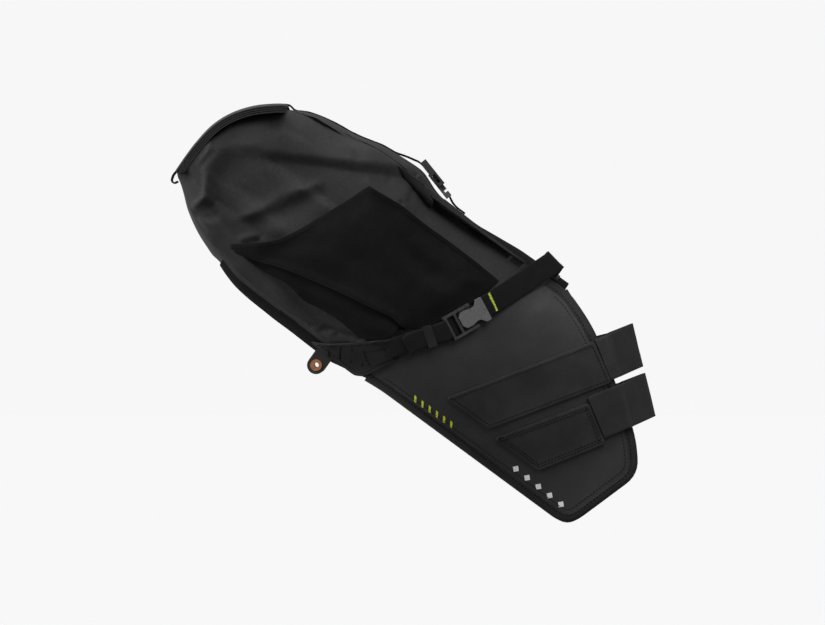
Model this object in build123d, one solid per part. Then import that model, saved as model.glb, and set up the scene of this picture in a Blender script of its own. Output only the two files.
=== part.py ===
from build123d import *
import math
import os

# Roll-top saddle bag for a bicycle: a wedge-shaped bag that hangs under the saddle.
# Two straps hold its narrow end to the seatpost, and a strap on each side loops
# over a saddle rail. The row frame has +X forward along the bicycle, +Y to the
# rider's left and +Z up, with its origin on the seatpost's axis, level with the
# middle of the upper strap.
#
# Everything is drawn in the bag's own frame, (along, up, side): "along" runs from
# the seatpost to the closure at the rear, "up" is square to it in the bag's middle
# plane, and "side" is the row's +Y. Pieces that come in pairs are drawn on the left
# and mirrored.

# ---- driving dimensions, millimetres and degrees ----
post_radius = 13.6            # 27.2 mm seatpost
post_angle = 76.1             # seatpost above the horizontal
bag_pitch = 35.5              # bag's long axis above the horizontal
rail_radius = 3.5             # 7 mm saddle rail
rail_angle = 6.5              # rail's slope from the bag's long axis
rail_centre = (88.9, 23.2, 26.0)

cloth = 1.3                   # laminated fabric
board = 1.5                   # stiffening sheet
hypalon = 1.4                 # rubber-coated patches, wings and strap anchors
gap = 0.3                     # between pieces that move apart

strap_width = 38.0            # seatpost straps
strap_thick = 1.9
strap_levels = {"upper": -6.5, "lower": -51.0}   # along the post, from the bag frame's origin
strap_wrap = 83.0             # arc on the post's front
strap_edge = 5.5              # where a strap meets the bag, behind the post's axis
strap_clear = 29.0            # half width there, so that the strap clears the post
strap_settle = 26.0           # length over which it settles onto the bag
flap_end = {"upper": 20.0, "lower": 36.0}
strap_base_end = 38.0
hook_thick = 1.0
hook_start = 12.0             # where a hook pad begins, behind the post's axis
pad_half_width = 14.0
pad_front = 6.6               # tips of the rubber pads, behind the post's axis

flange = 7.3                  # bound seam that stands out round the narrow end
binding_thick = 0.8

web_width = 16.0
web_thick = 1.5
web_rise = 4.0                # webbing's height over the bag between its seam and the buckle
rail_strap_width = 19.6
rail_strap_thick = 1.6

# Bag sections: along, lowest, highest, half width, taper to the top, power.
stations = (
    (-95, -185, 12, 24.0, 0.00, 2.8),
    (-50, -178, 14, 27.0, 0.02, 2.8),
    (0, -170, 16, 38.0, 0.10, 2.8),
    (60, -165, 17.5, 56.0, 0.22, 2.7),
    (110, -162, 17, 72.0, 0.28, 2.6),
    (160, -160, 13.5, 84.0, 0.22, 2.6),
    (200, -158, 14.5, 90.0, 0.15, 2.6),
    (231, -157, 20, 93.0, 0.10, 2.6),
    (263, -156, 17.5, 95.0, 0.05, 2.7),
    (300, -153, 10.5, 96.0, 0.00, 2.9),
    (330, -143, -0.5, 96.0, 0.00, 3.2),
    (346, -137, -9.5, 96.0, 0.00, 3.4),
    (357, -132, -16.5, 96.5, 0.00, 3.6),
    (372, -123, -30, 97.0, 0.00, 3.8),
    (382, -115, -49, 97.5, 0.00, 4.0),
    (387, -111, -72.5, 98.0, 0.00, 4.2),
    (390, -109, -93, 98.0, 0.00, 4.4),
    (395, -105, -94.5, 98.0, 0.00, 4.6),
    (398.5, -101, -96, 98.0, 0.00, 4.8),
)
mouth = stations[-1][0]
base_edge = 58.0              # angle of the black base panel's edge below the side
top_edge = 64.0               # angle of the black top panel's edge above the side
base_rear = 323.0             # where the base panel ends
top_rear = 197.0              # where the top panel ends

# Bound edge of the side panels, in (along, up): nose tip, front corner, and the
# edge that runs up the seatpost to the top.
nose_tip = (-54.0, -155.0)
front_edge = ((-77.5, -82.0), (-55.0, -55.5), (28.5, -1.5), (62.0, 11.0), (84.0, 11.0))
# Seam between the stiff side panels and the soft rear body, from the bottom up.
side_seam = ((165.0, -155.0), (161.0, -112.0), (118.0, -50.0), (84.0, 11.0))
# Front walls of the bag's body, inside the flanges, from the floor to the top.
front_wall = ((-47.0, -147.7), (-68.0, -86.0), (-49.5, -62.2), (30.2, -3.0), (66.0, 12.0))
floor_level = -147.7
floor_rear = 150.0

anchor_corners = {
    "upper": ((96.5, -124.0), (51.3, -125.0), (-10.5, -34.5), (22.5, -13.0)),
    "lower": ((43.3, -129.2), (-4.6, -130.3), (-39.1, -76.8), (-8.3, -53.4)),
}
wing_base_corners = ((219.0, -146.0), (168.0, -147.0), (149.4, -119.4), (166.0, -110.6))
wing_corners = ((322.0, -122.0), (196.0, -132.0), (120.0, -18.0), (254.0, -14.0))

# Release buckle, in its own frame: x towards the half with the two bars, z outward.
buckle_half_width = 11.25
buckle_rail = 2.35
buckle_low = -3.5
buckle_high = 3.5
buckle_mouth = -6.5
buckle_rear = 20.0
male_rear = -18.5
prong_pivot = (-9.0, 5.4)
ear = 8.0                     # outer edge of a prong's ear, inside the window
side_buckle_rear = (129.8, -75.5)
side_buckle_front = (114.1, -41.2)
side_buckle_lift = 6.0
top_buckle_centre = (213.2, 24.6)
top_buckle_slope = 15.8

roll_path = ((399.0, -86.0), (396.7, -70.0), (392.2, -48.0), (383.2, -28.0), (371.5, -15.0), (355.0, -4.4))
roll_thick = 7.0
roll_half_width = 104.0
top_strap_path = ((372.0, -16.0), (371.0, -14.9), (355.0, -4.4), (330.0, 6.0), (300.0, 14.2),
                  (270.0, 20.0), (245.0, 24.2), (233.5, 28.2))
tab_radius = 7.8
tab_centre = (204.6, -167.0)
tab_thick = 2.6
eyelet_radius = 2.3
eyelet_flange = 5.0

# ---- frames ----
pitch = math.radians(bag_pitch)
post_slope = math.radians(post_angle - bag_pitch)
post_up = Vector(math.cos(post_slope), math.sin(post_slope), 0)
row_up = Vector(-math.cos(math.radians(post_angle)), 0, math.sin(math.radians(post_angle)))
bag_frame = Plane(origin=row_up * -strap_levels["upper"],
                  x_dir=(-math.cos(pitch), 0, math.sin(pitch)), z_dir=(0, 1, 0))
post_rear = Vector(math.sin(post_slope), -math.cos(post_slope), 0)
sideways = Vector(0, 0, 1)

os.makedirs("parts", exist_ok=True)
parts = {}


# ---- storing pieces ----
def keep(node, shape, mirrored=False):
    """Store a node, placed in the row frame, on the right side if mirrored."""
    if mirrored:
        shape = mirror(shape, about=Plane.XY)
    solids = [bag_frame.location * solid for solid in shape.solids()]
    parts[node] = solids[0] if len(solids) == 1 else Compound(children=solids)


def pair(name, shape):
    """The same piece on the left and, mirrored, on the right."""
    keep(name + "_left", shape)
    keep(name + "_right", shape, mirrored=True)


def both_sides(shape):
    """Two solids for one node: a piece and its mirror image."""
    return Compound(children=[shape.solid(), mirror(shape, about=Plane.XY).solid()])


# ---- simple solids ----
def prism(points, low, high):
    """A straight-sided block over an (along, up) outline, between two sides."""
    face = Face(Wire.make_polygon([Vector(x, y, low) for x, y in points], close=True))
    return Solid.extrude(face, Vector(0, 0, high - low))


def brick(frame, x_span, y_span, z_span):
    """A box given by its extents in a frame's own x, y and z."""
    size = [span[1] - span[0] for span in (x_span, y_span, z_span)]
    centre = [(span[0] + span[1]) / 2 for span in (x_span, y_span, z_span)]
    return frame.location * (Pos(*centre) * Box(*size))


def band_outline(path, thick):
    """Outline of a strip that lies along a path, thick towards the path's left."""
    normals = []
    for start, end in zip(path[:-1], path[1:]):
        run = Vector(end[0] - start[0], end[1] - start[1], 0).normalized()
        normals.append(Vector(-run.Y, run.X, 0))
    outer = []
    for i, point in enumerate(path):
        before = normals[max(i - 1, 0)]
        after = normals[min(i, len(normals) - 1)]
        mid = (before + after).normalized()
        reach = thick / mid.dot(after)
        outer.append((point[0] + mid.X * reach, point[1] + mid.Y * reach))
    return list(path) + outer[::-1]


def ribbon(rectangles, width, thick):
    """A strap through rectangles, each a centre, a width direction and a normal."""
    wires = []
    for centre, across, normal in rectangles:
        across = across.normalized() * (width / 2)
        rise = normal.normalized() * (thick / 2)
        wires.append(Wire.make_polygon([centre - across - rise, centre + across - rise,
                                        centre + across + rise, centre - across + rise], close=True))
    return Solid.make_loft(wires, ruled=True)


def sheet(outer, inner):
    """A thin closed solid between two grids of points, from flat triangles."""
    rows = len(outer) - 1
    columns = len(outer[0]) - 1
    faces = []

    def tile(a, b, c, d):
        for points in ((a, b, c), (a, c, d)):
            if (points[1] - points[0]).cross(points[2] - points[0]).length > 1e-6:
                faces.append(Face(Wire.make_polygon(points, close=True)))

    for i in range(rows):
        for j in range(columns):
            tile(outer[i][j], outer[i + 1][j], outer[i + 1][j + 1], outer[i][j + 1])
            tile(inner[i][j], inner[i][j + 1], inner[i + 1][j + 1], inner[i + 1][j])
        for j in (0, columns):
            tile(outer[i][j], inner[i][j], inner[i + 1][j], outer[i + 1][j])
    for j in range(columns):
        for i in (0, rows):
            tile(outer[i][j], outer[i][j + 1], inner[i][j + 1], inner[i][j])
    solid = Solid(Shell(faces))
    return solid if solid.volume > 0 else Solid(Shell([-face for face in faces]))


# ---- the bag's surface ----
def section_at(along):
    for first, second in zip(stations[:-1], stations[1:]):
        if along <= second[0]:
            part = (along - first[0]) / (second[0] - first[0])
            return tuple(a + (b - a) * part for a, b in zip(first, second))
    return stations[-1]


def skin(along, degrees, grow=0.0):
    """A point on the bag: 0 degrees is the left side, 90 the top and 180 the right."""
    _, low, high, half, taper, power = section_at(along)
    c = math.cos(math.radians(degrees))
    s = math.sin(math.radians(degrees))
    across = math.copysign(abs(c) ** (2 / power), c)
    rise = math.copysign(abs(s) ** (2 / power), s)
    side = (half + grow) * across * (1 - taper * rise)
    return Vector(along, (low + high) / 2 + ((high - low) / 2 + grow) * rise, side)


def side_at(along, up):
    """Half width of the bag at a place on its side."""
    _, low, high, half, taper, power = section_at(along)
    rise = (up - (low + high) / 2) / ((high - low) / 2)
    rise = max(-0.999, min(0.999, rise))
    return half * (1 - abs(rise) ** power) ** (1 / power) * (1 - taper * rise)


def side_normal(along, up):
    step = 2.0
    slope_along = (side_at(along + step, up) - side_at(along - step, up)) / (2 * step)
    slope_up = (side_at(along, up + step) - side_at(along, up - step)) / (2 * step)
    return Vector(-slope_along, -slope_up, 1).normalized()


def on_side(along, up, lift):
    return Vector(along, up, side_at(along, up) + lift)


def along_path(path, part):
    """A point at a fraction of a polyline's length."""
    legs = [math.dist(a, b) for a, b in zip(path[:-1], path[1:])]
    left = part * sum(legs)
    for (a, b), leg in zip(zip(path[:-1], path[1:]), legs):
        if left <= leg + 1e-9:
            return tuple(p + (q - p) * left / leg for p, q in zip(a, b))
        left -= leg
    return path[-1]


def side_patch(bottom, top, front, rear, low, high, columns=9, rows=6):
    """A sheet on the left side between four edges, from one lift to another."""
    grids = {low: [], high: []}
    for i in range(columns):
        u = i / (columns - 1)
        for lift in grids:
            grids[lift].append([])
        for j in range(rows):
            v = j / (rows - 1)
            spot = []
            for axis in (0, 1):
                blend = (1 - v) * along_path(bottom, u)[axis] + v * along_path(top, u)[axis]
                blend += (1 - u) * along_path(front, v)[axis] + u * along_path(rear, v)[axis]
                corners = (1 - u) * (1 - v) * bottom[0][axis] + u * (1 - v) * bottom[-1][axis]
                corners += (1 - u) * v * top[0][axis] + u * v * top[-1][axis]
                spot.append(blend - corners)
            for lift in grids:
                grids[lift][-1].append(on_side(spot[0], spot[1], lift))
    return sheet(grids[high], grids[low])


def corner_patch(corners, low, high):
    """A four-cornered sheet on the left side."""
    a, b, c, d = corners
    return side_patch((a, b), (d, c), (a, d), (b, c), low, high)


# ---- sewn panels ----
def seam_along(up):
    """Where the side seam lies at a height."""
    for low, high in zip(side_seam[:-1], side_seam[1:]):
        if up <= high[1]:
            return low[0] + (high[0] - low[0]) * max(0, (up - low[1]) / (high[1] - low[1]))
    return side_seam[-1][0]


def tube_sheet(start, end, angles, columns):
    """A sheet on the bag's surface over a range of angles, with its own start at each.
    Its rows crowd towards the rear, where the surface turns fastest."""
    outer = []
    inner = []
    for i in range(columns):
        u = 1 - (1 - i / (columns - 1)) ** 1.6
        places = [(start(angle) + (end(angle) - start(angle)) * u, angle) for angle in angles]
        outer.append([skin(along, angle) for along, angle in places])
        inner.append([skin(along, angle, -cloth) for along, angle in places])
    return sheet(outer, inner)


def angle_range(low, high, count):
    return [low + (high - low) * k / (count - 1) for k in range(count)]


def body_start(angle):
    """Front edge of the rear body: the side seam, then the rear of the top panel."""
    angle = 180 - angle if angle > 90 else angle
    if angle > top_edge - 1:
        return top_rear
    up = skin(120.0, angle).Y
    return min(seam_along(up), top_rear)


def make_panels():
    keep("rear_body", tube_sheet(body_start, lambda angle: mouth, angle_range(-base_edge, 180 + base_edge, 33), 22))
    keep("rear_flap", tube_sheet(lambda angle: base_rear, lambda angle: mouth,
                                 angle_range(180 + base_edge, 360 - base_edge, 9), 10))
    keep("top_panel", tube_sheet(lambda angle: front_wall[-1][0] + 1, lambda angle: top_rear,
                                 angle_range(top_edge, 180 - top_edge, 7), 9))
    side = side_patch((nose_tip, side_seam[0]), front_edge, (nose_tip, front_edge[0]), side_seam,
                      -cloth, 0, 19, 9)
    pair("side_panel", side)


def floor_point(along, part, lift):
    """A point on the bag's floor, flat at the narrow end and round at the rear."""
    if along <= floor_rear:
        return Vector(along, floor_level + lift, (side_at(along, floor_level) - cloth - 0.2) * part)
    blend = min(1, (along - floor_rear) / 45)
    round_point = skin(along, 270 + (90 - base_edge) * part, -lift)
    flat_half = side_at(along, floor_level) - cloth - 0.2
    flat = Vector(along, floor_level + lift, flat_half * part)
    return flat * (1 - blend) + round_point * blend


def make_base():
    places = [front_wall[0][0] + (base_rear - front_wall[0][0]) * i / 25 for i in range(26)]
    parts_across = angle_range(-1, 1, 11)
    grids = [[[floor_point(along, part, lift) for part in parts_across] for along in places]
             for lift in (0, cloth)]
    keep("base_panel", sheet(*grids))
    stiff = [[[floor_point(along, part * 0.9, lift) for part in parts_across]
              for along in angle_range(front_wall[0][0] + 3, floor_rear, 12)] for lift in (cloth, cloth + board)]
    keep("base_stiffener", sheet(*stiff))
    outline = ((-42.0, -140.0), (140.0, -140.0), (84.0, -22.0), (-44.0, -72.0))
    pair("side_stiffener", corner_patch(outline, -cloth - board, -cloth))


def make_front():
    """The nose and the wall that faces the seatpost, between the side panels."""
    walls = []
    for low, high in zip(front_wall[:-1], front_wall[1:]):
        corners = []
        run = Vector(high[0] - low[0], high[1] - low[1], 0).normalized()
        inward = Vector(run.Y, -run.X, 0) * cloth
        for point in (low, high):
            half = side_at(*point) - cloth - 0.1
            place = Vector(point[0], point[1], 0)
            corners.append([place - sideways * half, place + sideways * half,
                            place + inward + sideways * half, place + inward - sideways * half])
        walls.append(Solid.make_loft([Wire.make_polygon(points, close=True) for points in corners], ruled=True))
    shape = walls[0]
    for wall in walls[1:]:
        shape = shape + wall
    keep("front_panel", shape)


def make_bindings():
    """Tape folded over each side panel's bound edge."""
    path = ((130.0, -155.0), nose_tip, front_edge[0], front_edge[1], front_edge[2], (50.0, 6.5))
    rows = []
    for i, point in enumerate(path):
        before = path[max(i - 1, 0)]
        after = path[min(i + 1, len(path) - 1)]
        run_in = Vector(point[0] - before[0], point[1] - before[1], 0)
        run_out = Vector(after[0] - point[0], after[1] - point[1], 0)
        run = ((run_in.normalized() if i else run_out.normalized())
               + (run_out.normalized() if i < len(path) - 1 else run_in.normalized())).normalized()
        side_run = run_in if i else run_out
        inward = Vector(run.Y, -run.X, 0)
        reach = flange / inward.dot(Vector(side_run.Y, -side_run.X, 0).normalized())
        inner = (point[0] + inward.X * reach, point[1] + inward.Y * reach)
        rows.append((point, inner))
    spots = []
    for (edge_a, inner_a), (edge_b, inner_b) in zip(rows[:-1], rows[1:]):
        for step in range(4):
            spots.append([tuple(p + (q - p) * step / 4 for p, q in zip(*ends))
                          for ends in ((edge_a, edge_b), (inner_a, inner_b))])
    spots.append(rows[-1])
    grids = [[[on_side(edge[0] + (inner[0] - edge[0]) * v, edge[1] + (inner[1] - edge[1]) * v, lift)
               for v in (0, 0.5, 1)] for edge, inner in spots] for lift in (binding_thick, 0.1)]
    pair("edge_binding", sheet(*grids))


def make_side_patches():
    pair("wing_base", corner_patch(wing_base_corners, 0.1, hypalon + 0.3))
    pair("compression_wing", corner_patch(wing_corners, 0.1, hypalon))
    for level, corners in anchor_corners.items():
        pair("strap_anchor_" + level, corner_patch(corners, 0.1, hypalon))


# ---- seatpost straps ----
def post_point(rear, side, level):
    return post_rear * rear + post_up * level + sideways * side


def strap_side(rear, level, lift):
    """How far out a strap runs: on the bag, but always clear of the seatpost in front."""
    spot = post_point(rear, 0, level)
    ease = min(1, max(0, (rear - strap_edge) / strap_settle))
    clear = (strap_clear + lift) * (1 - ease * ease * (3 - 2 * ease))
    return Vector(spot.X, spot.Y, max(side_at(spot.X, spot.Y) + lift, clear))


def strap_sheet(level, end, low, high, start=None):
    """A strap from the post's side to its end on the bag's left side."""
    half_gap = math.radians(180 - strap_wrap / 2 - 1)
    grids = []
    for lift, radius in ((high, post_radius + strap_thick), (low, post_radius)):
        rows = []
        for level_step in angle_range(-strap_width / 2, strap_width / 2, 7):
            z = level + level_step
            row = []
            if start is None:
                leave = (radius * math.cos(half_gap), radius * math.sin(half_gap))
                meet = (strap_edge, strap_side(strap_edge, z, lift).Z)
                for part in (0, 0.5, 1):
                    row.append(post_point(leave[0] + (meet[0] - leave[0]) * part,
                                          leave[1] + (meet[1] - leave[1]) * part, z))
            begin = start if start is not None else strap_edge + 3
            for rear in angle_range(begin, end, 6):
                row.append(strap_side(rear, z, lift))
            rows.append(row)
        grids.append(rows)
    return sheet(*grids)


def make_post_straps():
    flap_low = hypalon + gap + hook_thick
    for level, height in strap_levels.items():
        frame = Plane(origin=post_up * height, x_dir=post_rear, z_dir=-post_up)
        reach = math.radians(180 - strap_wrap / 2 + 0.8)
        ring = Cylinder(post_radius + strap_thick, strap_width) - Cylinder(post_radius, strap_width + 2)
        far = 60
        wedge = Polygon((0, 0), (far * math.cos(reach), far * math.sin(reach)), (-far, 0),
                        (far * math.cos(reach), -far * math.sin(reach)), align=None)
        ring = ring & extrude(wedge, amount=strap_width, both=True)
        keep("post_strap_" + level, frame.location * ring)
        keep("strap_flap_" + level, strap_sheet(height, flap_end[level], flap_low, flap_low + strap_thick),
             mirrored=True)
        keep("hook_pad_" + level, strap_sheet(height, flap_end[level] - 1.5, hypalon + gap, flap_low, hook_start),
             mirrored=True)
        keep("strap_base_" + level, strap_sheet(height, strap_base_end, hypalon, hypalon + strap_thick))
        block = brick(frame, (pad_front, 60), (-pad_half_width, pad_half_width),
                      (-strap_width / 2, strap_width / 2))
        body = front_wall + ((200, 12), (200, -147.7))
        block = block - prism(body, -60, 60)
        block = block - frame.location * Cylinder(post_radius, strap_width + 2)
        keep("post_pad_" + level, max(block.solids(), key=lambda solid: solid.volume))


# ---- buckles ----
def female_half(frame):
    half = buckle_half_width
    inside = half - buckle_rail
    shape = brick(frame, (buckle_mouth, 8.6), (-half, half), (buckle_low, buckle_low + 1.2))
    for side in (-1, 1):
        rail = sorted((side * inside, side * half))
        shape = shape + brick(frame, (buckle_mouth, buckle_rear), rail, (buckle_low, 2.2))
        window = sorted((side * (inside - 1), side * (half + 1)))
        shape = shape - brick(frame, (-3.2, 5.2), window, (-1.7, 1.4))
    shape = shape + brick(frame, (8.6, 10.9), (-half, half), (-0.6, 2.2))
    shape = shape + brick(frame, (buckle_rear - 2.4, buckle_rear), (-half, half), (-0.6, 2.2))
    return shape


def male_half(frame):
    outline = ((7.6, -4.2), (7.6, 4.2), (4.6, 7.2), (-1.6, 7.2), (-6.0, 5.9), (-9.4, 6.4), (-13.6, 10.6),
               (male_rear, 10.6), (male_rear, -10.6), (-13.6, -10.6), (-9.4, -6.4), (-6.0, -5.9), (-1.6, -7.2),
               (4.6, -7.2))
    plate = Solid.extrude(Face(Wire.make_polygon([Vector(x, y, 1.2) for x, y in outline], close=True)),
                          Vector(0, 0, buckle_high - 1.2))
    shape = frame.location * plate
    shape = shape + brick(frame, (-11.5, 4.0), (-1.6, 1.6), (-1.9, 1.2))
    for side in (-1, 1):
        lug = sorted((side * 9.9, side * 10.6))
        shape = shape + brick(frame, (male_rear, -13.6), lug, (-1.6, 1.2))
    bar = frame.location * (Pos(-16.4, 0, -0.4) * Rot(90, 0, 0) * Cylinder(1.0, 20.2))
    return shape + bar


def prong(frame, side):
    pivot_x, pivot_y = prong_pivot
    points = ((pivot_x - 1.4, pivot_y - 1.0), (5.6, pivot_y - 0.6), (6.2, pivot_y + 1.0), (4.6, ear), (-0.8, ear),
              (-2.6, pivot_y + 1.2), (pivot_x - 1.4, pivot_y + 1.0))
    outline = [Vector(x, side * y, -1.6) for x, y in points]
    face = Face(Wire.make_polygon(outline, close=True))
    return frame.location * Solid.extrude(face, Vector(0, 0, 2.5))


def side_buckle_frame():
    rear = on_side(*side_buckle_rear, side_buckle_lift)
    front = on_side(*side_buckle_front, side_buckle_lift)
    middle = tuple((a + b) / 2 for a, b in zip(side_buckle_rear, side_buckle_front))
    run = (rear - front).normalized()
    normal = side_normal(*middle)
    normal = (normal - run * normal.dot(run)).normalized()
    return Plane(origin=(rear + front) * 0.5, x_dir=run, z_dir=normal)


def top_buckle_frame():
    slope = math.radians(top_buckle_slope)
    return Plane(origin=Vector(*top_buckle_centre, 0), x_dir=Vector(math.cos(slope), math.sin(slope), 0),
                 z_dir=Vector(math.sin(slope), -math.cos(slope), 0))


def make_buckle_set(name, frame, mirrored):
    keep(name + "_female", female_half(frame), mirrored)
    keep(name + "_male", male_half(frame), mirrored)
    for label, side in (("a", 1), ("b", -1)):
        keep(name + "_prong_" + label, prong(frame, side), mirrored)


def in_frame(frame, x, y, z):
    return frame.origin + frame.x_dir * x + frame.y_dir * y + frame.z_dir * z


def make_side_straps():
    frame = side_buckle_frame()
    across = frame.y_dir
    base = (160.0, -116.5)
    base_normal = side_normal(*base)
    middle = (147.0, -100.0)
    bend = buckle_rear + 2.0
    under = -0.6 - web_thick / 2 - 0.15
    low_path = [
        (on_side(*base, hypalon + 1.4), across, base_normal),
        (on_side(*middle, web_rise), across, side_normal(*middle)),
        (in_frame(frame, bend, 0, under), across, frame.z_dir),
        (in_frame(frame, 9.2, 0, under), across, frame.z_dir),
    ]
    webbing = ribbon(low_path, web_width, web_thick)
    tail_rise = web_thick + 0.5
    tail_path = [
        (on_side(*middle, web_rise) + side_normal(*middle) * tail_rise, across, side_normal(*middle)),
        (in_frame(frame, bend + 0.8, 0, under + tail_rise), across, frame.z_dir),
    ]
    tail = ribbon(tail_path, web_width, web_thick)
    run = (tail_path[0][0] - tail_path[1][0]).normalized()
    keeper_normal = (frame.z_dir - run * frame.z_dir.dot(run)).normalized()
    keeper_frame = Plane(origin=(tail_path[0][0] * 0.55 + tail_path[1][0] * 0.45) - keeper_normal * tail_rise / 2,
                         x_dir=run, z_dir=keeper_normal)
    reach = web_width / 2 + 0.5
    keeper = brick(keeper_frame, (-4, 4), (-reach - 0.9, reach + 0.9), (-2.9, 2.9))
    keeper = keeper - brick(keeper_frame, (-5, 5), (-reach, reach), (-2.1, 2.1))
    for side, mirrored in (("left", False), ("right", True)):
        make_buckle_set("buckle_" + side, frame, mirrored)
        keep("webbing_" + side, webbing, mirrored)
        keep("webbing_tail_" + side, tail, mirrored)
        keep("tail_keeper_" + side, keeper, mirrored)
    return frame


def make_rail_straps(frame):
    slope = math.radians(rail_angle)
    rail_rear = Vector(math.cos(slope), math.sin(slope), 0)
    rail_up = Vector(-math.sin(slope), math.cos(slope), 0)
    centre = Vector(*rail_centre)
    target = in_frame(frame, -19.4, 0, -0.4)
    fall = target - centre
    fall = (fall - rail_rear * fall.dot(rail_rear)).normalized()
    outward = fall.cross(rail_rear).normalized()
    outward = outward if outward.Z > 0 else outward * -1
    rail_frame = Plane(origin=centre, x_dir=rail_up, z_dir=rail_rear)
    ring = Cylinder(rail_radius + rail_strap_thick, rail_strap_width)
    ring = rail_frame.location * (ring - Cylinder(rail_radius, rail_strap_width + 2))
    side_axis = rail_frame.y_dir
    flip = 1 if side_axis.Z > 0 else -1
    lean = math.atan2(outward.dot(side_axis), outward.dot(rail_up))
    corners = [(0, 0)]
    for k in range(7):
        angle = -flip * math.pi / 2 + (lean + flip * math.pi / 2) * k / 6
        corners.append((40 * math.cos(angle), 40 * math.sin(angle)))
    wedge = rail_frame.location * extrude(Polygon(*corners, align=None), amount=rail_strap_width, both=True)
    ring = ring & wedge
    middle_radius = rail_radius + rail_strap_thick / 2
    outer_leg = ribbon([(centre + outward * middle_radius, rail_rear, outward),
                        (target, frame.y_dir, frame.z_dir)], rail_strap_width, rail_strap_thick)
    inner_start = centre - sideways * middle_radius
    foot = Vector(centre.X, 0, 0)
    inner_leg = ribbon([(inner_start, rail_rear, sideways),
                        (Vector(foot.X + 1.0, 15.2, inner_start.Z), rail_rear, sideways)],
                       rail_strap_width, rail_strap_thick)
    pair("rail_strap", ring + outer_leg + inner_leg)
    patch_rows = []
    for grow in (1.9, 0.1):
        patch_rows.append([[skin(along, angle, grow) for angle in angle_range(67, 83, 7)]
                           for along in angle_range(centre.X - 12, centre.X + 12, 5)])
    pair("rail_strap_patch", sheet(*patch_rows))


# ---- closure and small pieces ----
def make_closure():
    outline = band_outline(roll_path, roll_thick)
    roll = prism(outline, -roll_half_width, roll_half_width)
    path = roll_path[1:4]
    near = band_outline(path, 3.0)[len(path):]
    far = band_outline(path, 4.2)[len(path):]
    stiffener = prism(near[::-1] + far, -roll_half_width + 8, roll_half_width - 8)
    keep("roll_closure", roll - stiffener)
    keep("closure_stiffener", stiffener)
    half = web_width / 2
    keep("top_strap", prism(band_outline(top_strap_path, -web_thick), -half, half))
    frame = top_buckle_frame()
    make_buckle_set("buckle_top", frame, False)
    loop = ((196.6, 20.9), (191.5, 17.4), (186.0, 15.0), (176.0, 14.5))
    keep("top_anchor_loop", prism(band_outline(loop, -web_thick), -half, half))


def make_trim():
    rear = ((398.6, -96.0), (397.4, -110.6), (392.6, -107.6), (393.6, -106.0), (395.6, -107.2), (396.9, -101.0))
    keep("light_loop", prism(rear, -12.5, 12.5))
    side = side_at(tab_centre[0], -152.0) + 1.0
    tab = Pos(*tab_centre, side) * Cylinder(tab_radius, tab_thick)
    neck = prism(((tab_centre[0] - tab_radius, tab_centre[1]), (tab_centre[0] + tab_radius, tab_centre[1]),
                  (tab_centre[0] + tab_radius, -152.0), (tab_centre[0] - tab_radius, -152.0)),
                 side - tab_thick / 2, side + tab_thick / 2)
    tab = tab + neck - Pos(*tab_centre, side) * Cylinder(eyelet_radius + 0.7, tab_thick * 2)
    keep("eyelet_tabs", both_sides(tab))
    rings = Cylinder(eyelet_radius + 0.7, tab_thick + 1.2)
    for face in (-1, 1):
        rings = rings + Pos(0, 0, face * (tab_thick / 2 + 0.3)) * Cylinder(eyelet_flange, 0.6)
    rings = rings - Cylinder(eyelet_radius, tab_thick * 3)
    keep("eyelets", both_sides(Pos(*tab_centre, side) * rings))


make_panels()
make_base()
make_front()
make_bindings()
make_side_patches()
make_post_straps()
make_rail_straps(make_side_straps())
make_closure()
make_trim()

for node, shape in parts.items():
    export_step(shape, "parts/" + node + ".step")
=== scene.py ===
import math
import bpy
import numpy as np
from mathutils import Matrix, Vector, noise
from mathutils.bvhtree import BVHTree
from mathutils.geometry import delaunay_2d_cdt


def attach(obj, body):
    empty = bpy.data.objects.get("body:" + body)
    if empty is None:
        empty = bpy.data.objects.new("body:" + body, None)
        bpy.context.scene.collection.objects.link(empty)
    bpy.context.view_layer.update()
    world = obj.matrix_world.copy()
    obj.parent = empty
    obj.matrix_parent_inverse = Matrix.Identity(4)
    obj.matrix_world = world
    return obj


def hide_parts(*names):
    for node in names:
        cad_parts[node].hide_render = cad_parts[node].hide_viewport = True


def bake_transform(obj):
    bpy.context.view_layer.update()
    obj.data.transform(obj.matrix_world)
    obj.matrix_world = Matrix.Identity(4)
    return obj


# Looks of a roll-top saddle bag. Everything is drawn in the bag's own frame in
# millimetres, (along, up, side), as in the CAD source: "along" runs from the seatpost to
# the closure, "up" is square to it in the middle plane, "side" is the row's +Y (left).
# row() turns such points into the row frame in metres.

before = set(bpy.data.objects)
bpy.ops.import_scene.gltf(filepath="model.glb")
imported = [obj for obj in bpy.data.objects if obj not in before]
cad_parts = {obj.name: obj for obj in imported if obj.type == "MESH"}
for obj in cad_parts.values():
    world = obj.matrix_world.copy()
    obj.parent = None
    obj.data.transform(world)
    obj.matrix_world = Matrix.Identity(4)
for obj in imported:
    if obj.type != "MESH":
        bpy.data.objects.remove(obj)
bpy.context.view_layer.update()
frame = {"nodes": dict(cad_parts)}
nodes = frame["nodes"]
SIDES = {"left": 1, "right": -1}

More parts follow.
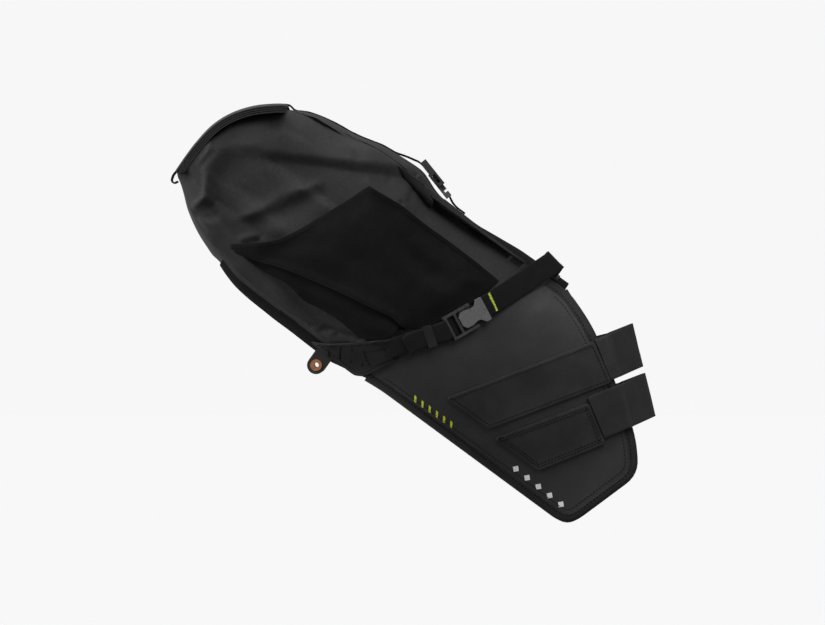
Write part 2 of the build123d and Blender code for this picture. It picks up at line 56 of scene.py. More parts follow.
# ---- driving sizes, millimetres and degrees ----
PITCH = math.radians(35.5)
POST_ANGLE = math.radians(76.1)
POST_RADIUS = 13.6
STRAP_LEVELS = {"upper": -6.5, "lower": -51.0}
RAIL_RADIUS = 3.5
RAIL_SLOPE = math.radians(6.5)
RAIL_CENTRE = np.array((88.9, 23.2, 26.0))
CLOTH = 1.2
HYPALON = 1.4
WEB_WIDTH = 16.0
SIDE_WEB = 17.4
WEB_THICK = 1.5
FLANGE = 7.3
BASE_EDGE = 58.0
TOP_EDGE = 64.0
BASE_REAR = 323.0
TOP_REAR = 197.0
FLOOR_LEVEL = -147.7
FLOOR_REAR = 150.0
MOUTH = 398.5
CORNER_STEPS = 7
FOLD_FADE = 0.25
CLOTH_FRAMES = 24

# along, lowest, highest, half width, taper to the top, power of the section's curve
STATIONS = np.array((
    (-95, -185, 12, 24.0, 0.00, 2.8), (-50, -178, 14, 27.0, 0.02, 2.8), (0, -170, 16, 38.0, 0.10, 2.8),
    (60, -165, 17.5, 56.0, 0.22, 2.7), (110, -162, 17, 72.0, 0.28, 2.6),
    (160, -160, 13.5, 84.0, 0.22, 2.6), (200, -158, 14.5, 90.0, 0.15, 2.6),
    (231, -157, 22.5, 93.0, 0.10, 2.6), (263, -156, 22.0, 95.0, 0.05, 2.8),
    (300, -153, 17.5, 96.0, 0.00, 3.2), (330, -143, 12.0, 96.5, 0.00, 3.8),
    (346, -137, 5.0, 97.0, 0.00, 4.4), (357, -132, -3.0, 97.0, 0.00, 4.8),
    (372, -123, -17.5, 97.5, 0.00, 5.0), (382, -115, -31, 98.0, 0.00, 5.0),
    (387, -111, -42, 98.0, 0.00, 5.0), (391, -108, -55, 98.0, 0.00, 5.0),
    (395, -105, -75, 98.0, 0.00, 4.8), (398.5, -101, -95, 98.0, 0.00, 4.8)), float)

NOSE_TIP = (-54.0, -155.0)
FRONT_EDGE = ((-77.5, -82.0), (-55.0, -55.5), (28.5, -1.5), (62.0, 11.0), (84.0, 11.0))
SIDE_SEAM = ((165.0, -155.0), (161.0, -112.0), (118.0, -50.0), (84.0, 11.0))
FRONT_WALL = ((-47.0, -147.7), (-68.0, -86.0), (-49.5, -62.2), (30.2, -3.0), (66.0, 12.0))

# ---- frames ----
COS, SIN = math.cos(PITCH), math.sin(PITCH)
ROW = np.array(((-COS, SIN, 0), (0, 0, 1), (SIN, COS, 0)))
POST_SLOPE = POST_ANGLE - PITCH
POST_UP = np.array((math.cos(POST_SLOPE), math.sin(POST_SLOPE), 0))
POST_REAR = np.array((math.sin(POST_SLOPE), -math.cos(POST_SLOPE), 0))
ORIGIN = POST_UP * STRAP_LEVELS["upper"]
ACROSS = np.array((0.0, 0.0, 1.0))


def row(points):
    """Bag frame in millimetres to row frame in metres."""
    return (np.asarray(points, float) - ORIGIN) @ ROW.T * 0.001


def unit(v):
    v = np.asarray(v, float)
    return v / np.maximum(np.linalg.norm(v, axis=-1, keepdims=True), 1e-9)


def smooth(x):
    x = np.clip(x, 0, 1)
    return x * x * (3 - 2 * x)


# ---- the bag's surface ----
def table(x, xs, ys):
    """Smooth curve through a table without overshoot."""
    step = np.diff(xs)
    slope = np.diff(ys) / step
    tangent = np.zeros_like(ys)
    both = slope[:-1] * slope[1:] > 0
    tangent[1:-1] = np.where(both, 2 * slope[:-1] * slope[1:] / np.where(both, slope[:-1] + slope[1:], 1), 0)
    tangent[0], tangent[-1] = slope[0], slope[-1]
    i = np.clip(np.searchsorted(xs, x) - 1, 0, len(xs) - 2)
    t = np.clip((x - xs[i]) / step[i], 0, 1)
    a = (1 + 2 * t) * (1 - t) ** 2 * ys[i] + t * t * (3 - 2 * t) * ys[i + 1]
    return a + step[i] * t * (1 - t) * ((1 - t) * tangent[i] - t * tangent[i + 1])


def section(along):
    along = np.asarray(along, float)
    return [table(along, STATIONS[:, 0], STATIONS[:, k]) for k in range(1, 6)]


def skin(along, degrees, grow=0.0):
    """Points on the bag: 0 degrees is the left side, 90 the top and 180 the right."""
    along, degrees = np.broadcast_arrays(np.asarray(along, float), np.asarray(degrees, float))
    low, high, half, taper, power = section(along)
    c, s = np.cos(np.radians(degrees)), np.sin(np.radians(degrees))
    across = np.sign(c) * np.abs(c) ** (2 / power)
    rise = np.sign(s) * np.abs(s) ** (2 / power)
    side = (half + grow) * across * (1 - taper * rise)
    return np.stack((along, (low + high) / 2 + ((high - low) / 2 + grow) * rise, side), -1)


def side_at(along, up):
    """Half width of the bag at a place on its side."""
    low, high, half, taper, power = section(along)
    rise = np.clip((np.asarray(up, float) - (low + high) / 2) / ((high - low) / 2), -0.999, 0.999)
    return half * (1 - np.abs(rise) ** power) ** (1 / power) * (1 - taper * rise)


# ---- paths ----
def lengths(path):
    path = np.asarray(path, float)
    return np.concatenate(((0,), np.cumsum(np.linalg.norm(np.diff(path, axis=0), axis=1))))


def closed_path(path):
    path = np.asarray(path, float)
    return np.vstack((path, path[:1]))


def resample(path, count):
    path = np.asarray(path, float)
    at = lengths(path)
    to = np.linspace(0, at[-1], count)
    return np.stack([np.interp(to, at, path[:, k]) for k in range(path.shape[1])], -1)


def curve(points, count):
    """Smooth curve through points, evenly sampled."""
    p = np.asarray(points, float)
    p = np.vstack((2 * p[0] - p[1], p, 2 * p[-1] - p[-2]))
    t = np.linspace(0, 1, 24)[:, None]
    out = []
    for a, b, c, d in zip(p[:-3], p[1:-2], p[2:-1], p[3:]):
        bend = (2 * a - 5 * b + 4 * c - d) * t ** 2 + (3 * b - a - 3 * c + d) * t ** 3
        out.append(0.5 * (2 * b + (c - a) * t + bend))
    return resample(np.vstack(out), count)


def rounded(corners, radius, closed=True):
    """A polyline with its corners rounded."""
    p = np.asarray(corners, float)
    out = []
    n = len(p)
    for i in range(n):
        if not closed and i in (0, n - 1):
            out.append(p[i])
            continue
        r = radius[i] if hasattr(radius, "__len__") else radius
        before, after = p[i - 1] - p[i], p[(i + 1) % n] - p[i]
        cut = min(r, np.linalg.norm(before) * 0.45, np.linalg.norm(after) * 0.45)
        a, b = p[i] + unit(before) * cut, p[i] + unit(after) * cut
        for t in np.linspace(0, 1, CORNER_STEPS):
            out.append((1 - t) ** 2 * a + 2 * t * (1 - t) * p[i] + t * t * b)
    return np.array(out)


def to_segments(points, path):
    """Distance from points to a polyline, the signed side and the share of its length."""
    points, path = np.asarray(points, float), np.asarray(path, float)
    at = lengths(path)
    best = np.full(points.shape[:-1], 1e9)
    sign = np.zeros_like(best)
    share = np.zeros_like(best)
    for k in range(len(path) - 1):
        run = path[k + 1] - path[k]
        rel = points - path[k]
        t = np.clip((rel @ run) / (run @ run), 0, 1)
        off = rel - t[..., None] * run
        dist = np.linalg.norm(off, axis=-1)
        closer = dist < best
        best = np.where(closer, dist, best)
        sign = np.where(closer, np.sign(run[0] * rel[..., 1] - run[1] * rel[..., 0]), sign)
        share = np.where(closer, (at[k] + t * np.linalg.norm(run)) / at[-1], share)
    return best, sign, share


def crease(points, path, depth, width, skew=0.0):
    """Height of a soft fold: a valley (depth over 0) or ridge, with a shoulder on one side when skewed."""
    dist, side, share = to_segments(points, path)
    ends = smooth(share / FOLD_FADE) * smooth((1 - share) / FOLD_FADE)
    x = dist * side / width
    return ends * (-depth * np.exp(-x * x) + skew * x * np.exp(-x * x))


# ---- meshes ----
def as_lists(points, faces):
    return [tuple(p) for p in points], [tuple(int(i) for i in f) for f in faces]


def add_mesh(name, points, faces, uv=None):
    points, faces = as_lists(points, faces)
    mesh = bpy.data.meshes.new(name)
    mesh.from_pydata(points, [], faces)
    if uv is not None:
        layer = mesh.uv_layers.new(name="UVMap")
        loops = np.empty(len(mesh.loops), np.int32)
        mesh.loops.foreach_get("vertex_index", loops)
        layer.data.foreach_set("uv", np.asarray(uv, np.float32)[loops].ravel())
    mesh.shade_smooth()
    obj = bpy.data.objects.new(name, mesh)
    bpy.context.scene.collection.objects.link(obj)
    return obj


def grid_faces(rows, cols, flip=False):
    r, c = np.meshgrid(np.arange(rows - 1), np.arange(cols - 1), indexing="ij")
    a = (r * cols + c).ravel()
    quads = np.stack((a, a + 1, a + cols + 1, a + cols), -1)
    return quads[:, ::-1] if flip else quads


def grid_uv(grid):
    """UV of a grid, one unit for each 10 mm along its rows and columns."""
    down = np.linalg.norm(np.diff(grid, axis=0), axis=-1).mean(1)
    over = np.linalg.norm(np.diff(grid, axis=1), axis=-1).mean(0)
    v = np.concatenate(((0,), np.cumsum(down))) / 10
    u = np.concatenate(((0,), np.cumsum(over))) / 10
    return np.stack(np.meshgrid(u, v), -1).reshape(-1, 2)


def grid_piece(name, grid, flip=False, uv=None):
    """A piece from a grid of bag-frame points; flip turns its outside over."""
    rows, cols = grid.shape[:2]
    uv = grid_uv(grid) if uv is None else uv
    return add_mesh(name, row(grid).reshape(-1, 3), grid_faces(rows, cols, flip), uv)


def grid_normals(grid, flip=False):
    normal = unit(np.cross(np.gradient(grid, axis=1), np.gradient(grid, axis=0)))
    return -normal if flip else normal


def sweep(path, across):
    """A grid from a path in the middle plane, drawn out to the side places in across."""
    across = np.broadcast_to(across, (len(path), np.shape(across)[-1]))
    along, up = (np.broadcast_to(path[:, k:k + 1], across.shape) for k in (0, 1))
    return np.dstack((along, up, across))


def flip_out(grid, direction):
    """Whether a grid must be flipped so that its outside faces a direction."""
    return float(np.mean(grid_normals(grid) @ np.asarray(direction, float))) < 0


def sheet_piece(name, grid, outward, thick, material, body, nodes):
    """A dressed sheet from a grid, with its outside facing a direction."""
    return dress(thicken(grid_piece(name, grid, flip_out(grid, outward)), thick), material, body, nodes)


def thicken(obj, thick, offset=-1.0, edge=0.35):
    """Give a sheet its thickness in millimetres, with softened edges."""
    solid = obj.modifiers.new("thickness", "SOLIDIFY")
    solid.thickness = thick * 0.001
    solid.offset = offset
    solid.use_even_offset = False
    return soften(obj, min(edge, thick * 0.45), 50)


def soften(obj, width, angle, segments=2):
    bevel = obj.modifiers.new("soft_edges", "BEVEL")
    bevel.width = width * 0.001
    bevel.segments = segments
    bevel.limit_method = "ANGLE"
    bevel.angle_limit = math.radians(angle)
    bevel.use_clamp_overlap = True
    return obj


def wobble(points, size, amount, seed):
    """Smooth noise at each point, in millimetres."""
    shape = points.shape[:-1]
    flat = points.reshape(-1, 3) / size + seed * 17.3
    return amount * np.array([noise.noise(Vector(p)) for p in flat]).reshape(shape)


# ---- heights for pieces that lie on the bag's sides ----
layers = {1: [], -1: []}


def add_layer(sign, points, faces):
    layers[sign].append(BVHTree.FromPolygons(*as_lists(points, faces)))


def ground(spots, sign):
    """How far out each (along, up) place on a side is, over every layer laid so far."""
    spots = np.asarray(spots, float)
    flat = spots.reshape(-1, 2)
    out = side_at(flat[:, 0], flat[:, 1])
    ray = Vector((0, 0, -sign))
    for k, (along, up) in enumerate(flat):
        for tree in layers[sign]:
            hit = tree.ray_cast(Vector((along, up, sign * 300)), ray)
            if hit[0] is not None:
                out[k] = max(out[k], hit[0][2] * sign)
    return out.reshape(spots.shape[:-1])


class Patch:
    """A sheet cut to an outline on a bag's side: a triangle mesh that lies on what is there."""

    def __init__(self, outline, spacing, sign, pull=12):
        outline = closed_path(outline)
        count = max(12, int(lengths(outline)[-1] / spacing))
        edge = resample(outline, count + 1)[:-1]
        low, high = edge.min(0), edge.max(0)
        inside = []
        rows = np.arange(low[1], high[1], spacing * 0.87)
        for i, y in enumerate(rows):
            for x in np.arange(low[0] + (i % 2) * spacing / 2, high[0], spacing):
                inside.append((x, y))
        inside = np.array(inside)
        near, _, _ = to_segments(inside, closed_path(edge))
        inside = inside[near > spacing * 0.55]
        spots = np.vstack((edge, inside))
        made = delaunay_2d_cdt([Vector(p) for p in spots], [], [list(range(len(edge)))], 1, 1e-6)
        self.spots = np.array([tuple(p) for p in made[0]])
        self.faces = np.array([f for f in made[2] if len(f) == 3])
        used = np.unique(self.faces)
        again = -np.ones(len(self.spots), int)
        again[used] = np.arange(len(used))
        self.spots, self.faces = self.spots[used], again[self.faces]
        a, b, c = (self.spots[self.faces[:, k]] for k in range(3))
        turn = (b[:, 0] - a[:, 0]) * (c[:, 1] - a[:, 1]) - (b[:, 1] - a[:, 1]) * (c[:, 0] - a[:, 0])
        wrong = (turn > 0) != (sign > 0)
        self.faces[wrong] = self.faces[wrong][:, ::-1]
        self.sign = sign
        self.edges = np.unique(np.sort(np.vstack([self.faces[:, (0, 1)], self.faces[:, (1, 2)],
                                                  self.faces[:, (2, 0)]]), axis=1), axis=0)
        self.from_edge, _, _ = to_segments(self.spots, outline)
        self.height = ground(self.spots, sign)
        for _ in range(pull):
            self.height = np.maximum(self.height, self.average(self.height))

    def average(self, values):
        total = np.zeros(len(values))
        number = np.zeros(len(values))
        for a, b in ((0, 1), (1, 0)):
            np.add.at(total, self.edges[:, a], values[self.edges[:, b]])
            np.add.at(number, self.edges[:, a], 1)
        return total / np.maximum(number, 1)

    def normals(self, points):
        a, b, c = (points[self.faces[:, k]] for k in range(3))
        face = np.cross(b - a, c - a)
        total = np.zeros_like(points)
        for k in range(3):
            np.add.at(total, self.faces[:, k], face)
        return unit(total)

    def places(self):
        return np.column_stack((self.spots, self.height))

    def points(self, lift):
        flat = self.places() * (1, 1, self.sign)
        return flat + self.normals(flat) * np.broadcast_to(lift, len(flat))[:, None]

    def make(self, name, lift, thick, material, nodes=()):
        points = self.points(lift)
        add_layer(self.sign, points, self.faces)
        obj = add_mesh(name, row(points), self.faces, self.spots / 10)
        return dress(thicken(obj, thick), material, "root", nodes)


def lay(path, sign, lift):
    """A path of (along, up) places laid on a side: its points and the normals there."""
    path = np.asarray(path, float)
    step = 1.5
    height = ground(path, sign)
    run_a = (ground(path + (step, 0), sign) - ground(path - (step, 0), sign)) / (2 * step)
    run_u = (ground(path + (0, step), sign) - ground(path - (0, step), sign)) / (2 * step)
    steep = 1.2
    normal = unit(np.column_stack((-np.clip(run_a, -steep, steep), -np.clip(run_u, -steep, steep),
                                   np.ones(len(path)))))
    normal[:, 2] *= sign
    return np.column_stack((path, height * sign)) + normal * lift, normal


# ---- materials ----
class Shader:
    """A node material, built step by step. Its scales are in millimetres."""

    def __init__(self, name, roughness, specular=0.5, metallic=0.0, sheen=0.0):
        self.material = bpy.data.materials.new(name)
        self.material.use_nodes = True
        self.tree = self.material.node_tree
        self.tree.nodes.clear()
        self.out = self.node("ShaderNodeOutputMaterial")
        self.bsdf = self.node("ShaderNodeBsdfPrincipled")
        values = {"Roughness": roughness, "Specular IOR Level": specular, "Metallic": metallic,
                  "Sheen Weight": sheen, "Sheen Roughness": 0.5}
        for socket, value in values.items():
            self.bsdf.inputs[socket].default_value = value
        self.join(self.bsdf.outputs[0], self.out.inputs[0])
        coordinates = self.node("ShaderNodeTexCoord")
        self.uv = coordinates.outputs["UV"]
        self.place = coordinates.outputs["Object"]
        self.normal = None

    def node(self, kind):
        return self.tree.nodes.new(kind)

    def join(self, start, end):
        self.tree.links.new(start, end)

    def fill(self, socket, value):
        if hasattr(value, "is_output"):
            self.join(value, socket)
        else:
            socket.default_value = value

    def noise(self, size, detail=3.0, rough=0.55, vector=None, stretch=None):
        vector = self.place if vector is None else vector
        if stretch is not None:
            mapping = self.node("ShaderNodeMapping")
            mapping.inputs["Scale"].default_value = stretch
            self.join(vector, mapping.inputs["Vector"])
            vector = mapping.outputs[0]
            unit_mm = 1.0
        else:
            unit_mm = 10.0 if vector is self.uv else 1000.0
        texture = self.node("ShaderNodeTexNoise")
        texture.inputs["Scale"].default_value = unit_mm / size
        texture.inputs["Detail"].default_value = detail
        texture.inputs["Roughness"].default_value = rough
        self.join(vector, texture.inputs["Vector"])
        return texture.outputs["Fac"]

    def turned(self, degrees):
        mapping = self.node("ShaderNodeMapping")
        mapping.inputs["Rotation"].default_value = (0, 0, math.radians(degrees))
        self.join(self.uv, mapping.inputs["Vector"])
        return mapping.outputs[0]

    def waves(self, pitch, axis, vector=None, distortion=0.0):
        texture = self.node("ShaderNodeTexWave")
        texture.wave_type = "BANDS"
        texture.bands_direction = axis
        texture.inputs["Scale"].default_value = math.pi / pitch
        texture.inputs["Distortion"].default_value = distortion
        texture.inputs["Detail"].default_value = 1.0
        self.join(self.uv if vector is None else vector, texture.inputs["Vector"])
        return texture.outputs["Fac"]

    def cells(self, size, vector=None):
        texture = self.node("ShaderNodeTexVoronoi")
        texture.inputs["Scale"].default_value = (10.0 if vector is self.uv else 1000.0) / size
        self.join(self.place if vector is None else vector, texture.inputs["Vector"])
        return texture.outputs["Distance"]

    def maths(self, operation, a, b, clamp=False):
        n = self.node("ShaderNodeMath")
        n.operation = operation
        n.use_clamp = clamp
        self.fill(n.inputs[0], a)
        self.fill(n.inputs[1], b)
        return n.outputs[0]

    def remap(self, value, low, high, to_low=0.0, to_high=1.0):
        n = self.node("ShaderNodeMapRange")
        self.join(value, n.inputs[0])
        for k, v in zip((1, 2, 3, 4), (low, high, to_low, to_high)):
            n.inputs[k].default_value = v
        return n.outputs[0]

    def blend(self, factor, a, b):
        n = self.node("ShaderNodeMix")
        n.data_type = "RGBA"
        self.fill(n.inputs[0], factor)
        self.fill(n.inputs[6], a)
        self.fill(n.inputs[7], b)
        return n.outputs[2]

    def colour(self, socket):
        self.join(socket, self.bsdf.inputs["Base Color"])

    def rough(self, socket):
        self.join(socket, self.bsdf.inputs["Roughness"])

    def bump(self, height, depth):
        """Add a relief that is depth millimetres deep."""
        n = self.node("ShaderNodeBump")
        n.inputs["Strength"].default_value = 1.0
        n.inputs["Distance"].default_value = depth * 0.001
        self.join(height, n.inputs["Height"])
        if self.normal is not None:
            self.join(self.normal, n.inputs["Normal"])
        self.normal = n.outputs[0]
        self.join(self.normal, self.bsdf.inputs["Normal"])

    def weave(self, pitch):
        """Plain weave: threads go over and under each other."""
        warp = self.waves(pitch, "X")
        weft = self.waves(pitch, "Y")
        checker = self.node("ShaderNodeTexChecker")
        checker.inputs["Scale"].default_value = 10 / pitch
        self.join(self.uv, checker.inputs["Vector"])
        n = self.node("ShaderNodeMix")
        n.data_type = "FLOAT"
        self.join(checker.outputs["Fac"], n.inputs[0])
        self.join(warp, n.inputs[2])
        self.join(weft, n.inputs[3])
        return n.outputs[0]


def rgba(value, tint=(1, 1, 1)):
    """A colour's four channels: a tint times its lightness."""
    return tuple(value * t for t in tint) + (1.0,)


def cloth_material(name, value, tint, pitch, depth, roughness, specular, sheen=0.0, grain=0.25, mottle=0.25,
                   laminate=0.0):
    """Woven fabric: weave relief, yarn speckle, broad mottling, soft creasing, dust marks and painted shade
    between the threads.
    """
    s = Shader(name, roughness, specular, sheen=sheen)
    s.bsdf.inputs["Sheen Tint"].default_value = rgba(0.6, tint)
    threads = s.weave(pitch)
    yarn = s.noise(pitch * 2.2, 2.0, vector=s.uv)
    broad = s.noise(34.0, 4.0)
    dark, light = rgba(value * (1 - grain), tint), rgba(value * (1 + grain), tint)
    base = s.blend(s.remap(yarn, 0.3, 0.7), dark, light)
    # painted shade: the low places between the threads are darkened
    base = s.blend(s.remap(threads, 0.0, 0.9, 0.35, 0.0), base, rgba(value * 0.35, tint))
    base = s.blend(s.remap(broad, 0.35, 0.7, 0.0, mottle), base, rgba(value * 1.7, (1, 0.99, 0.97)))
    scuff = s.noise(9.0, 6.0, 0.7)
    base = s.blend(s.remap(scuff, 0.62, 0.78, 0.0, 0.22), base, rgba(value * 2.2, (1, 0.98, 0.95)))
    s.colour(base)
    s.rough(s.remap(s.noise(5.0, 4.0), 0.3, 0.7, roughness - 0.08, roughness + 0.08))
    if laminate:
        s.bump(s.noise(3.2, 3.0), laminate)
    s.bump(s.noise(16.0, 2.0), 0.25)
    s.bump(threads, depth)
    return s.material


def rubber_material(name, value, roughness, specular):
    """Rubber-coated fabric: fine pebbled face, smears and scuffs."""
    s = Shader(name, roughness, specular)
    pebbles = s.cells(0.45, s.uv)
    smear = s.noise(22.0, 5.0, 0.65)
    base = s.blend(s.remap(smear, 0.35, 0.7), rgba(value * 0.85), rgba(value * 1.2))
    scratch = s.noise(1.0, 3.0, 0.6, vector=s.uv, stretch=(0.25, 6.0, 1.0))
    base = s.blend(s.remap(scratch, 0.66, 0.76, 0.0, 0.25), base, rgba(value * 2.4))
    s.colour(base)
    s.rough(s.remap(s.noise(7.0, 4.0), 0.3, 0.7, roughness - 0.09, roughness + 0.07))
    s.bump(s.noise(14.0, 2.0), 0.15)
    s.bump(pebbles, 0.05)
    return s.material


def webbing_material(name, value, pitch, depth, specular):
    """Nylon webbing: ribs across, twill running along, fuzz, and painted shade in the gaps between the ribs,
    with their tops painted lighter.
    """
    s = Shader(name, 0.62, specular, sheen=0.015)
    ribs = s.waves(pitch, "Y", distortion=0.4)
    twill = s.waves(pitch * 1.6, "X", s.turned(32))
    height = s.maths("ADD", s.maths("MULTIPLY", ribs, 0.7), s.maths("MULTIPLY", twill, 0.3))
    fuzz = s.noise(0.8, 4.0, vector=s.uv)
    # painted light and shade: darker in the low gaps between the ribs, lighter on their raised tops
    base = s.blend(s.remap(height, 0.1, 0.8), rgba(value * 0.4), rgba(value * 1.25))
    base = s.blend(s.remap(fuzz, 0.45, 0.75, 0.0, 0.4), base, rgba(value * 1.9))
    s.colour(base)
    s.rough(s.remap(fuzz, 0.3, 0.7, 0.52, 0.72))
    s.bump(s.noise(10.0, 2.0), 0.2)
    s.bump(height, depth)
    return s.material


def plastic_material(name, value, roughness, specular=0.5, edge_wear_and_highlight=2.6):
    """Moulded plastic: spark-eroded grain, fine scratches and lighter edges, partly rubbed wear and partly a
    painted edge highlight.
    """
    s = Shader(name, roughness, specular)
    geometry = s.node("ShaderNodeNewGeometry")
    # lighter sharp edges: partly rubbed wear, partly a painted edge highlight
    edge = s.remap(geometry.outputs["Pointiness"], 0.515, 0.56)
    rubbed_and_highlit_edge = s.maths("MULTIPLY", edge, s.remap(s.noise(1.6, 4.0), 0.35, 0.6), clamp=True)
    base = s.blend(s.remap(s.noise(6.0, 3.0), 0.3, 0.7), rgba(value * 0.88), rgba(value * 1.12))
    base = s.blend(s.maths("MULTIPLY", rubbed_and_highlit_edge, 0.6), base, rgba(value * edge_wear_and_highlight))
    scratch = s.noise(1.0, 2.0, 0.6, stretch=(180, 1400, 500))
    base = s.blend(s.remap(scratch, 0.68, 0.76, 0.0, 0.3), base, rgba(value * 2.0))
    s.colour(base)
    s.rough(s.remap(s.noise(1.2, 4.0), 0.3, 0.7, roughness - 0.06, roughness + 0.08))
    s.bump(s.noise(0.35, 3.0), 0.02)
    return s.material


def hook_material(name, value):
    """Hook tape: rows of small stiff hooks."""
    s = Shader(name, 0.7, 0.25)
    hooks = s.cells(0.9, s.uv)
    # painted light and shade: each hook's raised top is painted lighter, the gaps between hooks darker
    s.colour(s.blend(s.remap(hooks, 0.0, 0.6), rgba(value * 2.0), rgba(value * 0.5)))
    s.bump(s.remap(hooks, 0.0, 0.6, 1.0, 0.0), 0.4)
    return s.material


def foam_material(name, value):
    """Moulded rubber pad: fine dimples and a dusty bloom."""
    s = Shader(name, 0.75, 0.2)
    s.colour(s.blend(s.remap(s.noise(12.0, 4.0), 0.35, 0.7), rgba(value * 0.8), rgba(value * 1.5)))
    s.bump(s.cells(1.1), 0.12)
    s.bump(s.noise(0.5, 3.0), 0.05)
    return s.material


def metal_material(name, colour, roughness):
    """Plated metal: brushed lines, tarnish and small dents."""
    s = Shader(name, roughness, 0.5, metallic=1.0)
    tarnish = s.noise(1.8, 5.0)
    s.colour(s.blend(s.remap(tarnish, 0.45, 0.7, 0.0, 0.7), rgba(1, colour), rgba(0.5, colour)))
    s.rough(s.remap(s.noise(0.7, 3.0), 0.3, 0.7, roughness - 0.1, roughness + 0.12))
    s.bump(s.noise(1.0, 2.0, 0.5, stretch=(3000, 3000, 400)), 0.01)
    return s.material


def thread_material(name, colour, sheen=0.1, specular=0.3):
    """Twisted sewing thread."""
    s = Shader(name, 0.6, specular, sheen=sheen)
    twist = s.noise(0.35, 2.0)
    # painted shade: the twist's low places are darker
    s.colour(s.blend(s.remap(twist, 0.35, 0.65), rgba(0.55, colour), rgba(1, colour)))
    s.bump(twist, 0.06)
    return s.material


def ink_material(name, colour):
    """Screen-printed ink with a slightly patchy face that lets the cloth show through."""
    s = Shader(name, 0.55, 0.35)
    worn = s.noise(0.8, 4.0)
    s.colour(s.blend(s.remap(worn, 0.5, 0.72), rgba(1, colour), rgba(0.55, colour)))
    s.bump(worn, 0.03)
    return s.material


COOL = (0.985, 0.98, 1.03)
M = {
    "laminated": cloth_material("laminated_cloth", 0.027, COOL, 0.55, 0.035, 0.55, 0.24, sheen=0.01,
                                grain=0.12, laminate=0.05),
    "ripstop": cloth_material("ripstop_cloth", 0.0165, (0.985, 0.98, 1.035), 1.15, 0.11, 0.62, 0.2,
                              sheen=0.01, grain=0.22),
    "nylon": cloth_material("black_nylon", 0.0056, (1, 1, 1), 0.8, 0.07, 0.72, 0.05, sheen=0.0, grain=0.2),
    "hypalon": rubber_material("hypalon", 0.0205, 0.62, 0.18),
    # a darker, less shiny copy of the hypalon for the wing's foot and the tail keeper: painted shade
    "foot": rubber_material("hypalon_painted_shade", 0.0125, 0.66, 0.1),
    "tape": webbing_material("binding_tape", 0.013, 0.8, 0.12, 0.22),
    "webbing": webbing_material("webbing", 0.0075, 1.1, 0.2, 0.06),
    "hook": hook_material("hook_tape", 0.008),
    "pad": foam_material("rubber_pad", 0.009),
    "buckle": plastic_material("buckle_plastic", 0.012, 0.42, 0.4, edge_wear_and_highlight=4.0),
    "male": plastic_material("male_plastic", 0.062, 0.5, 0.45, edge_wear_and_highlight=1.8),
    "board": plastic_material("stiffener_board", 0.05, 0.6),
    "copper": metal_material("copper", (0.80, 0.36, 0.18), 0.32),
    "thread": thread_material("black_thread", (0.0045, 0.0045, 0.005), 0.0, 0.1),
    "lime": thread_material("lime_thread", (0.62, 0.78, 0.08)),
    "lime_ink": ink_material("lime_ink", (0.66, 0.72, 0.03)),
    "white_ink": ink_material("white_ink", (0.78, 0.78, 0.78)),
}


def dress(obj, material, body=None, replaces=()):
    """Give a piece its material and slot, its body and the CAD nodes it stands for."""
    obj.data.materials.clear()
    obj.data.materials.append(M[material])
    if body is not None:
        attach(obj, body)
    if replaces:
        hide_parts(*replaces)
    return obj


# ---- thread ----
def thread_run(name, points, normals, pitch=3.1, length=2.3, width=0.55):
    """A row of stitches along a path: each is a short thread that dips into the cloth at its ends."""
    at = lengths(points)
    count = max(1, int(at[-1] / pitch))
    mids = (np.arange(count) + 0.5) * at[-1] / count

    def along(values, shift=0.0):
        return np.stack([np.interp(mids + shift, at, values[:, k]) for k in range(3)], -1)

    ahead = unit(along(points, 0.4) - along(points, -0.4))
    stitches(name, along(points), ahead, unit(along(normals)), np.full(count, length), width, 0.3, "thread")


def stitches(name, spot, run, normal, length, width, rise, material):
    rings, sides = 5, 6
    across = unit(np.cross(normal, run))
    share = np.linspace(-1, 1, rings)
    belly = np.sqrt(np.clip(1 - share ** 2 * 0.92, 0.05, 1))
    height = rise * (1 - share ** 2) - width * 0.15
    turn = np.linspace(0, 2 * math.pi, sides, endpoint=False)
    verts, faces = [], []
    for k in range(len(spot)):
        base = k * rings * sides
        for r in range(rings):
            centre = spot[k] + run[k] * share[r] * length[k] / 2 + normal[k] * height[r]
            for t in turn:
                offset = across[k] * math.cos(t) + normal[k] * math.sin(t)
                verts.append(centre + offset * width / 2 * belly[r])
        for r in range(rings - 1):
            for i in range(sides):
                j = (i + 1) % sides
                a = base + r * sides
                faces.append((a + i, a + j, a + sides + j, a + sides + i))
        faces.append(tuple(base + i for i in range(sides))[::-1])
        faces.append(tuple(base + (rings - 1) * sides + i for i in range(sides)))
    dress(add_mesh(name, row(np.array(verts)), faces), material, "root")


def side_stitch(name, path, sign, closed=False):
    path = closed_path(path) if closed else np.asarray(path, float)
    path = resample(path, max(4, int(lengths(path)[-1] / 2.5)))
    thread_run(name, *lay(path, sign, 0.15))


def inset(outline, amount):
    """A closed outline moved inwards."""
    p = resample(closed_path(outline), 160)[:-1]
    run = unit(np.roll(p, -1, 0) - np.roll(p, 1, 0))
    area = 0.5 * np.sum(p[:, 0] * np.roll(p[:, 1], -1) - np.roll(p[:, 0], -1) * p[:, 1])
    inward = np.column_stack((-run[:, 1], run[:, 0])) * math.copysign(1, area)
    return p + inward * amount


def zigzag(name, start, end, normal, width, count, material):
    """A bartack: a tight zigzag between two points."""
    run = end - start
    across = unit(np.cross(normal, run)) * width / 2
    share = np.linspace(0, 1, count * 2 + 1)
    spots = np.array([start + run * t + across * (1 if k % 2 else -1) for k, t in enumerate(share)])
    mids = (spots[1:] + spots[:-1]) / 2
    runs = unit(spots[1:] - spots[:-1])
    long = np.linalg.norm(spots[1:] - spots[:-1], axis=1)
    stitches(name, mids, runs, np.tile(normal, (len(mids), 1)), long, 0.6, 0.25, material)


